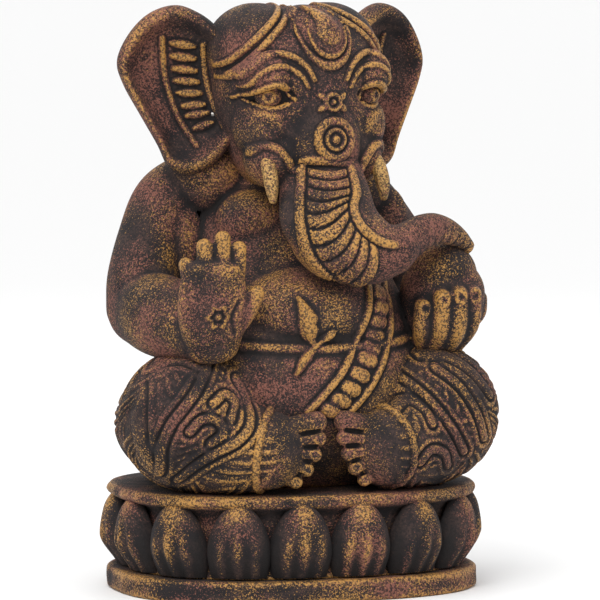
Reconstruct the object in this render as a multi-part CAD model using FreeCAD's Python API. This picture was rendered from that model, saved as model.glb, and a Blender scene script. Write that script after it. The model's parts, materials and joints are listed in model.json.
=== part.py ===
"""A seated elephant-headed deity statue on a lotus plinth, in cast volcanic stone.

The statue stands on the XY plane with +Z up and looks along -Y. The origin is the middle of the
plinth's underside. It is built in sections as a stone caster would: plinth slab, lotus drum and
petals, torso, limbs, head, ears, trunk and the applied ornaments are separate solids that lie
face to face, and steel armature bars and dowels inside them hold the sections together.

The figure is modelled in its own table of millimetres, in which the deck of the lotus is at
SCULPT_DECK, and is then scaled to FIGURE_HEIGHT and set down on the real deck.
"""

import FreeCAD, Part  # FreeCAD has to come first

import math
import os
from FreeCAD import Matrix, Rotation, Vector

# ---------------------------------------------------------------- driving dimensions, mm
SLAB_WIDTH = 252.0
SLAB_DEPTH = 200.0
SLAB_THICKNESS = 15.0
SLAB_EDGE = 2.0
LOTUS_HEIGHT = 57.0
DRUM_WIDTH = 250.0
DRUM_DEPTH = 196.0
DRUM_WAIST = 0.90          # size of the drum's foot against its rim
DRUM_RIM = 9.0             # height of the plain band under the deck
PETAL_COUNT = 16
PETAL_WIDTH = 41.0
PETAL_DEPTH = 21.0
PETAL_LEAN = 9.0           # degrees outwards
PETAL_SINK = 4.0           # how far a petal's middle lies inside the drum's rim line
PETAL_GAP = 1.0            # between a petal's foot and the slab
PETAL_CLEAR = 3.0          # between a petal's tip and the deck
FIGURE_HEIGHT = 328.0      # deck to crown
BASE_POWER = 2.5           # roundness of the plinth's outline: 2 is an ellipse
#             height, width and depth of a petal's sections, as shares
PETAL_FORM = [(0.0, 0.52, 0.45), (0.06, 0.74, 0.70), (0.20, 0.93, 0.93), (0.42, 1.0, 1.0), (0.64, 0.93, 0.97),
              (0.82, 0.70, 0.80), (0.93, 0.42, 0.55), (0.985, 0.20, 0.30), (1.0, 0.09, 0.14)]

ROD_RADIUS = 5.0
DOWEL_RADIUS = 3.0
PIN_RADIUS = 2.0
GROUT = 0.15               # radial clearance of a bar in its hole
END_GROUT = 0.5            # clearance at a bar's end

# ---------------------------------------------------------------- the sculpt's own frame
SCULPT_DECK = 72.0
SCULPT_HEIGHT = 328.0
HEAD_TURN = 10.0           # degrees, towards the figure's left
HEAD_SEAT = Vector(0, -9, 0)
MIRROR_X = -1

DECK = SLAB_THICKNESS + LOTUS_HEIGHT
SCALE = FIGURE_HEIGHT / SCULPT_HEIGHT


# ---------------------------------------------------------------- general shapes
def ring(points):
    """A closed smooth curve through the points, which share its parameter evenly."""
    curve = Part.BSplineCurve()
    curve.interpolate(Points=points, PeriodicFlag=True, Parameters=[float(i) for i in range(len(points) + 1)])
    return curve


def oval(centre, side, rise, power=2.0, points=14):
    """The superellipse with the half-axes side and rise, as a closed curve."""
    around = []
    for i in range(points):
        angle = 2 * math.pi * i / points
        c, s = math.cos(angle), math.sin(angle)
        c = math.copysign(abs(c) ** (2 / power), c)
        s = math.copysign(abs(s) ** (2 / power), s)
        around.append(centre + side * c + rise * s)
    return ring(around)


def loft(rings):
    """A solid whose side passes smoothly through the rings, with flat ends."""
    rows = [r.getPoles() for r in rings]
    along = [0.0]
    for p, q in zip(rows, rows[1:]):
        along.append(along[-1] + sum(a.distanceToPoint(b) for a, b in zip(p, q)) / len(p))
    columns = []
    for column in zip(*rows):
        curve = Part.BSplineCurve()
        curve.interpolate(Points=list(column), Parameters=along)
        columns.append(curve)
    first = columns[0]
    side = Part.BSplineSurface()
    side.buildFromPolesMultsKnots([c.getPoles() for c in columns], rings[0].getMultiplicities(),
                                  first.getMultiplicities(), rings[0].getKnots(), first.getKnots(),
                                  True, False, rings[0].Degree, first.Degree)
    ends = [Part.Face(Part.Wire([side.vIso(v).toShape()])) for v in (along[0], along[-1])]
    shell = Part.makeShell([side.toShape()] + ends)
    shell.sewShape()
    solid = Part.makeSolid(shell)
    if solid.Volume < 0:
        solid.reverse()
    return solid


def unit(vector):
    return Vector(vector).normalize()


def globe(centre, radii, turn=(0, 0, 0)):
    """An ellipsoid, turned by the angles about X, Y and Z in that order."""
    squash = Matrix()
    squash.scale(*radii)
    solid = Part.makeSphere(1.0).transformGeometry(squash)
    for axis, angle in zip((Vector(1, 0, 0), Vector(0, 1, 0), Vector(0, 0, 1)), turn):
        if angle:
            solid.rotate(Vector(), axis, angle)
    solid.translate(Vector(*centre))
    return solid


def limb(stations, facing=Vector(0, 0, 1), round_ends=(True, True), power=2.0):
    """A solid along a path. A station is (x, y, z, half width, half height).

    The width lies across facing. A rounded end gets two more, smaller, sections.
    """
    centres = [Vector(*s[:3]) for s in stations]
    wires = []
    last = len(stations) - 1
    for i, (x, y, z, width, height) in enumerate(stations):
        along = unit(centres[min(i + 1, last)] - centres[max(i - 1, 0)])
        side = unit(along.cross(facing))
        rise = unit(side.cross(along))

        def section(shift, share):
            wires.append(oval(centres[i] + along * shift, side * width * share,
                              rise * height * share, power))

        reach = min(width, height)
        if i == 0 and round_ends[0]:
            section(-reach * 0.90, 0.42)
            section(-reach * 0.55, 0.83)
        section(0, 1)
        if i == last and round_ends[1]:
            section(reach * 0.55, 0.83)
            section(reach * 0.90, 0.42)
    return loft(wires)


def cord(path, radius, ends=(True, True)):
    """A round cord through the points of a path."""
    facing = Vector(0, 0, 1) if abs(unit(path[-1] - path[0]).z) < 0.8 else Vector(0, 1, 0)
    return limb([(p.x, p.y, p.z, radius, radius) for p in path], facing, ends)


def stack(levels, power=2.0):
    """A solid from level sections (z, x, y, half width, half depth)."""
    return loft([oval(Vector(x, y, z), Vector(a, 0, 0), Vector(0, b, 0), power)
                 for z, x, y, a, b in levels])


def joined(solids):
    """The solids fused into one."""
    first, rest = solids[0], solids[1:]
    return first.fuse(rest).removeSplitter() if rest else first


def reach_of(shape):
    """The shape's bounding box, made tight by a coarse mesh, plus a little."""
    shape.tessellate(1.0)
    box = shape.BoundBox
    box.enlarge(1.5)
    return box


def trimmed(shape, *others):
    """shape less the others that it may meet, without crumbs left by the cut."""
    near = [o for o in others if reach_of(shape).intersect(reach_of(o))]
    if not near:
        return shape
    left = shape.cut(near)
    solids = sorted(left.Solids, key=lambda s: -s.Volume)
    kept = [s for s in solids if s.Volume > 0.02 * solids[0].Volume]
    return kept[0] if len(kept) == 1 else Part.makeCompound(kept)


def group_trimmed(solids, *others):
    """Each of several solids less the others, as one compound."""
    return Part.makeCompound([trimmed(s, *others) for s in solids])


def blended(table, at, column=0):
    """The row of a table at a value of one column, by Catmull-Rom between its rows."""
    keys = [row[column] for row in table]
    i = max(0, min(len(table) - 2, sum(k <= at for k in keys) - 1))
    t = (at - keys[i]) / (keys[i + 1] - keys[i])
    t = max(0.0, min(1.0, t))
    p = [table[max(0, i - 1)], table[i], table[i + 1], table[min(len(table) - 1, i + 2)]]
    return [0.5 * (2 * b + (c - a) * t + (2 * a - 5 * b + 4 * c - d) * t * t
                   + (3 * b - a - 3 * c + d) * t ** 3) for a, b, c, d in zip(*p)]


def mirrored(point, side):
    """The point, or its mirror image for the figure's left side."""
    return (point[0] * side,) + tuple(point[1:])


# ---------------------------------------------------------------- plinth
def outline(half_width, half_depth, height):
    return oval(Vector(0, 0, height), Vector(half_width, 0, 0), Vector(0, half_depth, 0),
                BASE_POWER, 24)


def plinth_slab():
    """The low slab at the bottom, with a worn upper edge."""
    a, b = SLAB_WIDTH / 2, SLAB_DEPTH / 2
    shoulder = SLAB_THICKNESS - SLAB_EDGE
    body = loft([outline(a, b, 0), outline(a, b, shoulder)])
    edge = loft([outline(a, b, shoulder), outline(a - SLAB_EDGE, b - SLAB_EDGE, SLAB_THICKNESS)])
    return body.fuse(edge)


def lotus_drum():
    """The core of the lotus: it swells from a narrow foot to the rim under the deck."""
    a, b = DRUM_WIDTH / 2, DRUM_DEPTH / 2
    foot, rim = SLAB_THICKNESS, DECK - DRUM_RIM
    middle = (foot + rim) / 2
    swell = (1 + DRUM_WAIST) / 2 + 0.01
    bowl = loft([outline(a * s, b * s, z) for s, z in ((DRUM_WAIST, foot), (swell, middle), (1, rim))])
    band = loft([outline(a, b, rim), outline(a, b, DECK)])
    return bowl.fuse(band)


def lotus_petals(drum):
    """Evenly spaced petals, each a pointed shell leaning on the drum."""
    a, b = DRUM_WIDTH / 2, DRUM_DEPTH / 2
    steps = 720
    walk = [(a * math.cos(2 * math.pi * i / steps), b * math.sin(2 * math.pi * i / steps))
            for i in range(steps + 1)]
    run = [0.0]
    for p, q in zip(walk, walk[1:]):
        run.append(run[-1] + math.dist(p, q))
    petals = []
    lean = math.tan(math.radians(PETAL_LEAN))
    foot, tip = SLAB_THICKNESS + PETAL_GAP, DECK - PETAL_CLEAR
    for k in range(PETAL_COUNT):
        target = run[-1] * (k + 0.5) / PETAL_COUNT - run[-1] / 4
        i = min(range(steps), key=lambda j: abs(run[j] - target % run[-1]))
        x, y = walk[i]
        shrink = (abs(x / a) ** BASE_POWER + abs(y / b) ** BASE_POWER) ** (-1 / BASE_POWER)
        out = unit(Vector(x / a ** 2, y / b ** 2, 0))
        seat = Vector(x, y, 0) * shrink - out * PETAL_SINK
        stations = []
        for share, width, depth in PETAL_FORM:
            p = seat + out * (share - 0.5) * (tip - foot) * lean + Vector(0, 0, foot + share * (tip - foot))
            stations.append((p.x, p.y, p.z, PETAL_WIDTH / 2 * width, PETAL_DEPTH / 2 * depth))
        petals.append(limb(stations, out, (False, False)))
    return group_trimmed(petals, drum)


# ---------------------------------------------------------------- torso and what lies on it
#        z     x     y   half width, half depth
TORSO = [(72, 0, 8, 62, 56), (88, 0, 2, 76, 68), (112, 0, -3, 86, 80), (138, 0, -4, 89, 84),
         (162, 0, -2, 88, 82), (186, 0, 2, 82, 76), (206, 0, 8, 74, 66), (226, 0, 15, 67, 57),
         (248, 0, 21, 64, 50), (268, 1, 26, 58, 44), (284, 2, 25, 44, 38), (300, 2, 18, 33, 34),
         (316, 2, 10, 30, 30)]
TORSO_POWER = 2.15


def torso_front(x, z, lift=0.0, back=False):
    """The point on the torso's front or back above x at the height z."""
    _, cx, cy, a, b = blended(TORSO, z)
    share = min(0.999, abs(x - cx) / a)
    reach = (b + lift) * (1 - share ** TORSO_POWER) ** (1 / TORSO_POWER)
    return Vector(x, cy + reach if back else cy - reach, z)


def torso_round(angle, z, lift=0.0):
    """The point on the torso at an angle from its front, in degrees towards the left."""
    _, cx, cy, a, b = blended(TORSO, z)
    s, c = math.sin(math.radians(angle)), math.cos(math.radians(angle))
    s = math.copysign(abs(s) ** (2 / TORSO_POWER), s)
    c = math.copysign(abs(c) ** (2 / TORSO_POWER), c)
    return Vector(cx + (a + lift) * s, cy - (b + lift) * c, z)


BELT_RADIUS = 4.5
BELT_HEIGHT = 169.0
BELT_RISE = 16.0           # how much higher the belt lies at the sides
SASH_RADIUS = 2.6
SASH_INNER = [(56, 244), (46, 226), (35, 208), (30.8, 194), (25, 180.5), (19, 167), (8.6, 152),
              (-3.6, 138.7), (-14, 128)]
SASH_OUTER = [(62, 236), (58, 220), (53, 203), (52, 188), (48, 172.7), (41, 159), (30, 143),
              (19, 131), (8, 121)]
SASH_BEADS = 12
BEAD_RADII = (5.6, 4.6, 3.4)


def belt_height(angle):
    return BELT_HEIGHT + BELT_RISE * (1 - math.cos(math.radians(angle))) / 2


def snake_belt():
    """The snake's body round the belly: two half rings, which meet at the back."""
    halves = []
    for side in (-1, 1):
        angles = [4 + 12 * i for i in range(15)] + [179.9]
        path = [torso_round(side * a, belt_height(a), -0.6) for a in angles]
        halves.append(cord(path, BELT_RADIUS, (False, False)))
    return halves


def snake_hood():
    """The snake's raised hood, a leaf-shaped tongue on the belly."""
    rows = [(-7.5, 172, 4.2), (-11.5, 180, 6.2), (-12.5, 188, 6.4), (-15, 195, 4.4), (-18, 201, 1.6)]
    stations = []
    for x, z, width in rows:
        p = torso_front(x, z)
        stations.append((p.x, p.y, p.z, width, 4.0))
    return limb(stations, Vector(0, -1, 0.3), (True, False))


def snake_tail():
    """The snake's tail, which crosses the belt and hangs below it."""
    rows = [(2, 180, 2.6), (-3, 174.5, 3.4), (-10, 167.5, 3.4), (-16, 161.5, 3.0), (-20, 155, 1.8)]
    stations = []
    for x, z, radius in rows:
        p = torso_front(x, z, 2.5)
        stations.append((p.x, p.y, p.z, radius, radius))
    return limb(stations, Vector(0, -1, 0))


def sash_cords():
    """The two edge cords of the shoulder sash: down the front, and from the shoulder to the back."""
    cords = []
    for edge in (SASH_INNER, SASH_OUTER):
        front = [torso_front(x, z) for x, z in edge]
        back = [torso_front(x - 6, z + 2, back=True) for x, z in edge[:-1]]
        cords += [cord(front, SASH_RADIUS, (False, False)), cord(back, SASH_RADIUS, (False, True))]
    return cords


def sash_beads():
    """The row of flat beads between the sash's two cords."""
    beads = []
    for i in range(SASH_BEADS):
        t = 1.2 + (len(SASH_INNER) - 1.9) * i / SASH_BEADS
        rows = [(k, *p) for k, p in enumerate(SASH_INNER)], [(k, *p) for k, p in enumerate(SASH_OUTER)]
        (_, x0, z0), (_, x1, z1) = (blended(r, t) for r in rows)
        p = torso_front((x0 + x1) / 2, (z0 + z1) / 2)
        lean = math.degrees(math.atan2(z1 - z0, x1 - x0))
        beads.append(globe((p.x, p.y, p.z), (BEAD_RADII[0], BEAD_RADII[2], BEAD_RADII[1]), (0, -lean, 0)))
    return beads


# ---------------------------------------------------------------- legs and feet
KNEE = ((-83, -43, 120), (49, 50, 48))
THIGH = ((-68, 16, 112), (50, 62, 41))
SHIN = [(-72, -56, 108, 38, 38), (-54, -70, 104, 34, 32), (-41, -77, 102, 29, 27)]
HEM_RADIUS = 3.0
FOOT = [(-42, -75, 102, 25, 14), (-33, -81, 102, 26, 15), (-22, -85, 103, 25, 15),
        (-14, -87, 105, 21, 13)]
#        root x, y, z      tip x, y, z       radius
TOES = [((-20, -90, 118), (-7, -92, 121), 7.4), ((-20, -92, 109), (-9, -94, 109.5), 5.6),
        ((-23, -92, 100), (-13, -94, 99.5), 5.3), ((-28, -91, 92), (-18, -93, 90), 5.3),
        ((-33, -89, 84), (-24, -91, 81.5), 4.6)]


def leg(side):
    """A folded leg in its trouser: knee, thigh back to the hip, shin in to the ankle."""
    knee = globe(mirrored(KNEE[0], side), KNEE[1])
    thigh = globe(mirrored(THIGH[0], side), THIGH[1])
    shin = limb([mirrored(s, side) for s in SHIN], round_ends=(True, False))
    return joined([knee, thigh, shin])


def hem(side):
    """The rolled hem round the ankle end of the trouser."""
    x, y, z, width, height = mirrored(SHIN[-1], side)
    before = Vector(*mirrored(SHIN[-2], side)[:3])
    along = unit(Vector(x, y, z) - before)
    across = unit(along.cross(Vector(0, 0, 1)))
    rise = unit(across.cross(along))
    centre = Vector(x, y, z) - along * HEM_RADIUS
    path = [centre + across * width * math.sin(t) * 1.0 + rise * height * math.cos(t) * 1.0
            for t in (math.radians(20 + 320 * i / 18) for i in range(19))]
    return limb([(p.x, p.y, p.z, HEM_RADIUS, HEM_RADIUS) for p in path], along, (False, False))


def foot(side):
    """A bare foot on its outer edge with five toes towards the middle."""
    sole = limb([mirrored(s, side) for s in FOOT], Vector(0, -1, 0), (False, True), 2.3)
    toes = [limb([mirrored((*root, r * 0.95, r * 0.95), side), mirrored((*tip, r, r), side)])
            for root, tip, r in TOES]
    return joined([sole] + toes)


# ---------------------------------------------------------------- arms and hands
RIGHT_UPPER = [(-62, 32, 276, 22, 25), (-80, 30, 262, 24, 25), (-92, 24, 238, 24, 24),
               (-101, 14, 212, 25, 25), (-104, 6, 194, 25, 25)]
RIGHT_FORE = [(-103, 2, 192, 26, 26), (-98, -22, 189, 28, 28), (-90, -46, 184, 25, 25),
              (-80, -64, 178, 19, 20)]
PALM = [(-77, -72, 172, 18, 12), (-78, -76, 184, 22, 12), (-79, -79, 198, 24, 11),
        (-79, -80, 212, 23, 10), (-79, -80, 222, 21, 9)]
#          root             tip              radius
FINGERS = [((-95, -79, 214), (-97, -78, 228), 5.2), ((-84, -80, 220), (-85, -80, 240), 5.8),
           ((-73, -80, 221), (-72, -80, 245), 5.9), ((-62, -79, 216), (-60, -78, 238), 5.6)]
THUMB = [(-60, -76, 186, 6, 6), (-54, -79, 196, 6, 6), (-49, -82, 208, 5.4, 5.4)]

LEFT_UPPER = [(52, 36, 270, 22, 24), (66, 36, 258, 22, 23), (80, 32, 238, 22, 23),
              (92, 26, 214, 23, 23), (97, 20, 198, 23, 23)]
LEFT_FORE = [(97, 16, 194, 23, 23), (97, 0, 188, 23, 23), (94, -16, 182, 21, 21)]
BALL = ((94, -46, 214), 23.5)
CUP = [(86, -26, 163, 15, 13), (90, -36, 174, 22, 21), (93, -43, 188, 27, 26), (94, -45, 202, 28.5, 27)]
#                root             middle            tip            radius
LEFT_FINGERS = [((78, -50, 166), (74, -64, 180), (74, -66, 193), 5.2),
                ((84, -52, 164), (85, -70, 180), (85, -73, 199), 5.6),
                ((92, -52, 164), (96, -71, 180), (96.5, -74, 201), 5.6),
                ((100, -50, 166), (107, -67, 182), (107.5, -70, 202), 5.4)]
LEFT_THUMB = [(112, -40, 178, 6, 6), (119, -46, 188, 6, 6), (120, -48, 198, 5.4, 5.4)]


def finger(root, tip, radius):
    return limb([(*root, radius, radius), (*tip, radius * 0.94, radius * 0.94)], Vector(0, 1, 0))


def right_hand():
    """The raised right hand, palm forwards: palm, four fingers and thumb."""
    palm = limb(PALM, Vector(0, 1, 0), (True, True), 2.4)
    return joined([palm] + [finger(*f) for f in FINGERS] + [limb(THUMB, Vector(0, 1, 0))])


def left_hand():
    """The left hand, a cup under the sweet with four fingers up its front."""
    cup = limb(CUP, Vector(0, 1, 0), (True, False))
    fingers = []
    for *points, radius in LEFT_FINGERS:
        fingers.append(limb([(*p, radius, radius) for p in points], Vector(1, 0, 0)))
    return joined([cup] + fingers + [limb(LEFT_THUMB, Vector(0, 1, 0))])


# ---------------------------------------------------------------- head
#        z    x    y   half width, half depth, in the head's own frame
HEAD = [(274, 0, 16, 26, 26), (284, 0, 6, 36, 38), (294, 0, 0, 43, 46), (306, 0, -2, 48, 52),
        (320, 0, -1, 53, 53), (336, 0, 0, 56.5, 54), (352, 0, 0, 57, 54), (368, 0, 1, 54, 52),
        (382, 0, 2, 46, 45), (392, 0, 3, 35, 34), (398, 0, 3, 21, 20), (400, 0, 3, 9, 9)]
HEAD_POWER = 2.1
CHEEK = ((-30, -26, 296), (20, 22, 22))
TRUNK_ROOT = ((0, -40, 304), (27, 22, 30))


def head_front(x, z, lift=0.0):
    """The point on the front of the bare head, in the head's own frame."""
    _, cx, cy, a, b = blended(HEAD, z)
    share = min(0.999, abs(x - cx) / a)
    return Vector(x, cy - (b + lift) * (1 - share ** HEAD_POWER) ** (1 / HEAD_POWER), z)


def brow_front(x, z, lift=0.0):
    """The front of the head with the root of the trunk standing out of it."""
    skull = head_front(x, z, lift)
    (rx, ry, rz), (a, b, c) = TRUNK_ROOT
    inside = 1 - ((x - rx) / a) ** 2 - ((z - rz) / c) ** 2
    if inside > 0:
        skull.y = min(skull.y, ry - (b + lift) * math.sqrt(inside))
    return skull


def turned(shape):
    """A shape from the head's frame, in the sculpt's frame."""
    shape = shape.copy()
    shape.rotate(Vector(), Vector(0, 0, 1), HEAD_TURN)
    shape.translate(HEAD_SEAT)
    return shape


def head_block():
    """The skull with its cheeks and the root of the trunk."""
    cheeks = [globe(mirrored(CHEEK[0], side), CHEEK[1]) for side in (1, -1)]
    return joined([stack(HEAD, HEAD_POWER)] + cheeks + [globe(*TRUNK_ROOT)])


EYE = ((-37, -31, 338), 8.5)
TUSK = [(-40, -30, 300, 5, 5), (-41, -38, 292, 6, 6), (-42, -44, 282, 6.2, 6.2),
        (-42, -48, 270, 4.4, 4.4), (-41.5, -49, 264, 2.4, 2.4)]
BROW_LOW = [(-52, 346), (-47, 354), (-38, 358), (-28, 356), (-19, 349), (-14, 341)]
BROW_HIGH = [(-53, 352), (-47, 361), (-37, 366), (-26, 363), (-16, 354), (-10, 344)]
LID_UPPER = [(-53, 339), (-47, 343), (-38, 347), (-30, 344), (-24, 337)]
LID_LOWER = [(-49, 336), (-42, 331.5), (-35, 330.5), (-28, 333.5)]
BAND_LOW = [(-54.5, 352), (-46, 364), (-34, 377), (-20, 389), (-6, 397)]
BAND_HIGH = [(-55, 358), (-48, 369), (-37, 381), (-23, 391.5), (-8, 398.5)]


def ridge(points, radius, side=1, lift=0.0):
    """A raised line on the head through points (x, z)."""
    path = [brow_front(x * side, z, lift) for x, z in points]
    return limb([(p.x, p.y, p.z, radius, radius) for p in path], Vector(0, 1, 0))


def ring_ridge(centre, radius, thick, lift=0.0, share=(0, 360), squash=1.0):
    """A raised ring, or an arc of one, lying on the head."""
    start, end = share
    count = max(6, int((end - start) / 18))
    points = []
    for i in range(count + 1):
        angle = math.radians(start + (end - start) * i / count)
        points.append((centre[0] + radius * math.cos(angle), centre[1] + radius * squash * math.sin(angle)))
    if end - start < 360:
        return ridge(points, thick, lift=lift)
    path = [brow_front(x, z, lift) for x, z in points[:-1]]
    middle = sum(path, Vector()) * (1 / len(path))
    rings = [oval(p, unit(p - middle) * thick, Vector(0, -thick, 0), points=10) for p in path + path[:1]]
    half = len(path) // 2
    return loft(rings[:half + 1]).fuse(loft(rings[half:]))


DISC = ((0, 309), 14.5)
ROSETTE = ((0, 334), 7.0)
DROP = (0, 383)
CRESCENT = (0, 380)


def trunk_disc():
    """Two rings and a boss on the root of the trunk."""
    centre, radius = DISC
    boss = brow_front(*centre)
    return [ring_ridge(centre, radius, 3.0), ring_ridge(centre, radius * 0.5, 1.7),
            globe((boss.x, boss.y, boss.z), (4.0, 3.0, 4.0))]


def brow_rosette():
    """A ring with a boss and four petals between the eyes."""
    centre, radius = ROSETTE
    pieces = [ring_ridge(centre, radius * 0.72, 1.7)]
    boss = brow_front(*centre)
    pieces.append(globe((boss.x, boss.y, boss.z), (2.2, 2.4, 2.2)))
    for sx in (-1, 1):
        for sz in (-1, 1):
            line = [(centre[0] + sx * reach, centre[1] + sz * rise) for reach, rise in ((7, 2.5), (10, 4), (13, 5.5))]
            pieces.append(ridge(line, 2.2))
    return pieces


def forehead_drop():
    """The drop-shaped mark at the top of the forehead."""
    rows = [(0, 375, 7.6), (0, 383, 7.2), (-1.5, 390, 5.2), (-4, 395.5, 2.0)]
    stations = []
    for x, z, width in rows:
        p = head_front(x, z)
        stations.append((p.x, p.y, p.z, width, 3.0))
    return limb(stations, Vector(0, -1, 0.7), (True, False))


def forehead_crescents():
    """Two nested crescents under the drop."""
    return [ring_ridge(CRESCENT, 12.5, 1.8, share=(-165, -15), squash=1.1),
            ring_ridge(CRESCENT, 18.5, 2.8, share=(-170, -10), squash=1.2)]


# ---------------------------------------------------------------- trunk
#         inner x, z     outer x, z    y    half depth, from the face to the tip
TRUNK = [((31, 300), (-20, 300), -40, 20), ((34, 288), (-21, 287), -50, 23), ((36, 275), (-26, 272), -61, 24),
         ((37, 263), (-29, 255), -71, 23), ((40, 257), (-24, 239), -78, 22), ((44, 252.5), (-9, 222.5), -82, 21),
         ((48, 252), (13, 212), -84, 20), ((52, 253), (34.5, 211), -84, 18.5), ((58, 255.5), (52, 218), -82, 16.5),
         ((67, 258), (65.5, 229.5), -77, 14), ((80, 258.5), (80, 236.5), -70, 11.5),
         ((94, 254), (92, 236), -62, 9.5), ((106, 246), (102, 233), -55, 8), ((115, 236), (110, 227), -50, 6)]
RIB_COUNT = 7
RIB_RADIUS = 2.6
PANEL_SPREAD = 44.0        # degrees each side of the trunk's front
BORDER_RADIUS = 2.0


def trunk_rows():
    return [(k, i[0], i[1], o[0], o[1], y, b) for k, (i, o, y, b) in enumerate(TRUNK)]


def trunk_point(at, angle, lift=0.0):
    """The point on the trunk at a station and an angle from its front, towards its inner edge."""
    _, ix, iz, ox, oz, y, b = blended(trunk_rows(), at)
    middle = Vector((ix + ox) / 2, y, (iz + oz) / 2)
    side = Vector((ix - ox) / 2, 0, (iz - oz) / 2)
    side = side + unit(side) * lift
    a = math.radians(angle)
    return middle + side * math.sin(a) + Vector(0, -(b + lift), 0) * math.cos(a)


def trunk_body():
    wires = []
    for (ix, iz), (ox, oz), y, b in TRUNK:
        side = Vector((ix - ox) / 2, 0, (iz - oz) / 2)
        wires.append(oval(Vector((ix + ox) / 2, y, (iz + oz) / 2), side, Vector(0, b, 0)))
    return loft(wires)


def trunk_ribs():
    """The cross ridges down the front of the trunk."""
    ribs = []
    for k in range(RIB_COUNT):
        at = 1.9 + 0.62 * k
        spread = PANEL_SPREAD * (0.80 - 0.05 * k)
        path = [trunk_point(at, spread * (i / 3 - 1)) for i in range(7)]
        ribs.append(limb([(p.x, p.y, p.z, RIB_RADIUS, RIB_RADIUS) for p in path], Vector(0, 1, 0)))
    return ribs


def trunk_border():
    """The raised frame round the ribs: top bar and two sides."""
    top = [trunk_point(1.3, PANEL_SPREAD * (i / 3 - 1)) for i in range(7)]
    sides = []
    for sign, end in ((-1, 7.4), (1, 6.0)):
        steps = 9
        path = [trunk_point(1.55 + (end - 1.55) * i / steps, sign * PANEL_SPREAD) for i in range(steps + 1)]
        sides.append(limb([(p.x, p.y, p.z, BORDER_RADIUS, BORDER_RADIUS) for p in path], Vector(0, 1, 0)))
    return [limb([(p.x, p.y, p.z, BORDER_RADIUS, BORDER_RADIUS) for p in top], Vector(0, 0, 1))] + sides


# ---------------------------------------------------------------- ears
# The ear lies in a plane that leaves the head's side and swings back. s runs out along it, z up.
EAR_HINGE = Vector(-50, 4, 0)
EAR_SWEEP = 22.0           # degrees back
EAR_THICKNESS = 22.0
EAR_OUTLINE = [(-6, 372), (6, 384), (18, 393), (34, 398.5), (52, 393), (66, 379), (74, 361), (70, 345),
               (59, 325), (47, 304), (39, 288), (27, 283), (13, 287), (1, 298), (-7, 312), (-8, 342)]
BOWL = ((33, 340), (31, 47), 17.0)   # centre (s, z), half axes, depth
LADDER_OUTER = [(41, 374), (40, 356), (37, 340), (30, 322), (20, 306)]
LADDER_INNER = [(16, 370), (15, 354), (13, 340), (7, 326), (3, 318)]
LADDER_BEADS = 8
LADDER_CORD = 1.9
RUNG_RADIUS = 3.0
RUNG_FORM = [(0.16, 0.35), (0.28, 0.80), (0.5, 1.0), (0.72, 0.80), (0.84, 0.35)]   # place, size


def ear_point(s, z, out, side):
    """A point of the ear from its plane's s and z and its height out of the front face."""
    sweep = math.radians(EAR_SWEEP)
    along = Vector(-math.cos(sweep), math.sin(sweep), 0)
    face = Vector(-math.sin(sweep), -math.cos(sweep), 0)
    p = EAR_HINGE + along * s + face * out + Vector(0, 0, z)
    return Vector(p.x * side, p.y, p.z)


def bowl_floor(s, z):
    """How far the bowl's floor lies below the ear's front face."""
    (cs, cz), (a, c), depth = BOWL
    inside = max(0.0, 1 - ((s - cs) / a) ** 2 - ((z - cz) / c) ** 2)
    return -depth * (1 - (1 - inside) ** 2) ** 0.5


def ear(side):
    """An ear: from its back, round the thick rim and down into the bowl in its front."""
    half = EAR_THICKNESS / 2
    (cs, cz), _, depth = BOWL
    profile = [(-2.0 * half, 0.55), (-1.95 * half, 0.86), (-1.5 * half, 0.97), (-half, 1.0),
               (-0.45 * half, 0.985), (0.0, 0.90), (-0.10 * half, 0.82), (-0.55 * half, 0.74),
               (-0.68 * depth, 0.62), (-0.88 * depth, 0.45), (-depth, 0.22)]
    rings = []
    for out, share in profile:
        rings.append(ring([ear_point(cs + (s - cs) * share, cz + (z - cz) * share, out, side)
                           for s, z in EAR_OUTLINE]))
    return loft(rings)


def ear_ladder(side):
    """The relief in the bowl: two cords with a row of flat beads between them."""
    pieces = []
    for line in (LADDER_OUTER, LADDER_INNER):
        path = [ear_point(s, z, bowl_floor(s, z), side) for s, z in line]
        pieces.append(cord(path, LADDER_CORD))
    outer = [(k, *p) for k, p in enumerate(LADDER_OUTER)]
    inner = [(k, *p) for k, p in enumerate(LADDER_INNER)]
    for i in range(LADDER_BEADS):
        t = 0.1 + (len(outer) - 1.3) * i / (LADDER_BEADS - 1)
        _, s0, z0 = blended(outer, t)
        _, s1, z1 = blended(inner, t)
        stations = []
        for share, size in RUNG_FORM:
            s, z = s0 + (s1 - s0) * share, z0 + (z1 - z0) * share
            p = ear_point(s, z, bowl_floor(s, z), side)
            stations.append((p.x, p.y, p.z, RUNG_RADIUS * size, RUNG_RADIUS * size))
        pieces.append(limb(stations, Vector(0, 1, 0), (False, False)))
    return pieces


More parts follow.
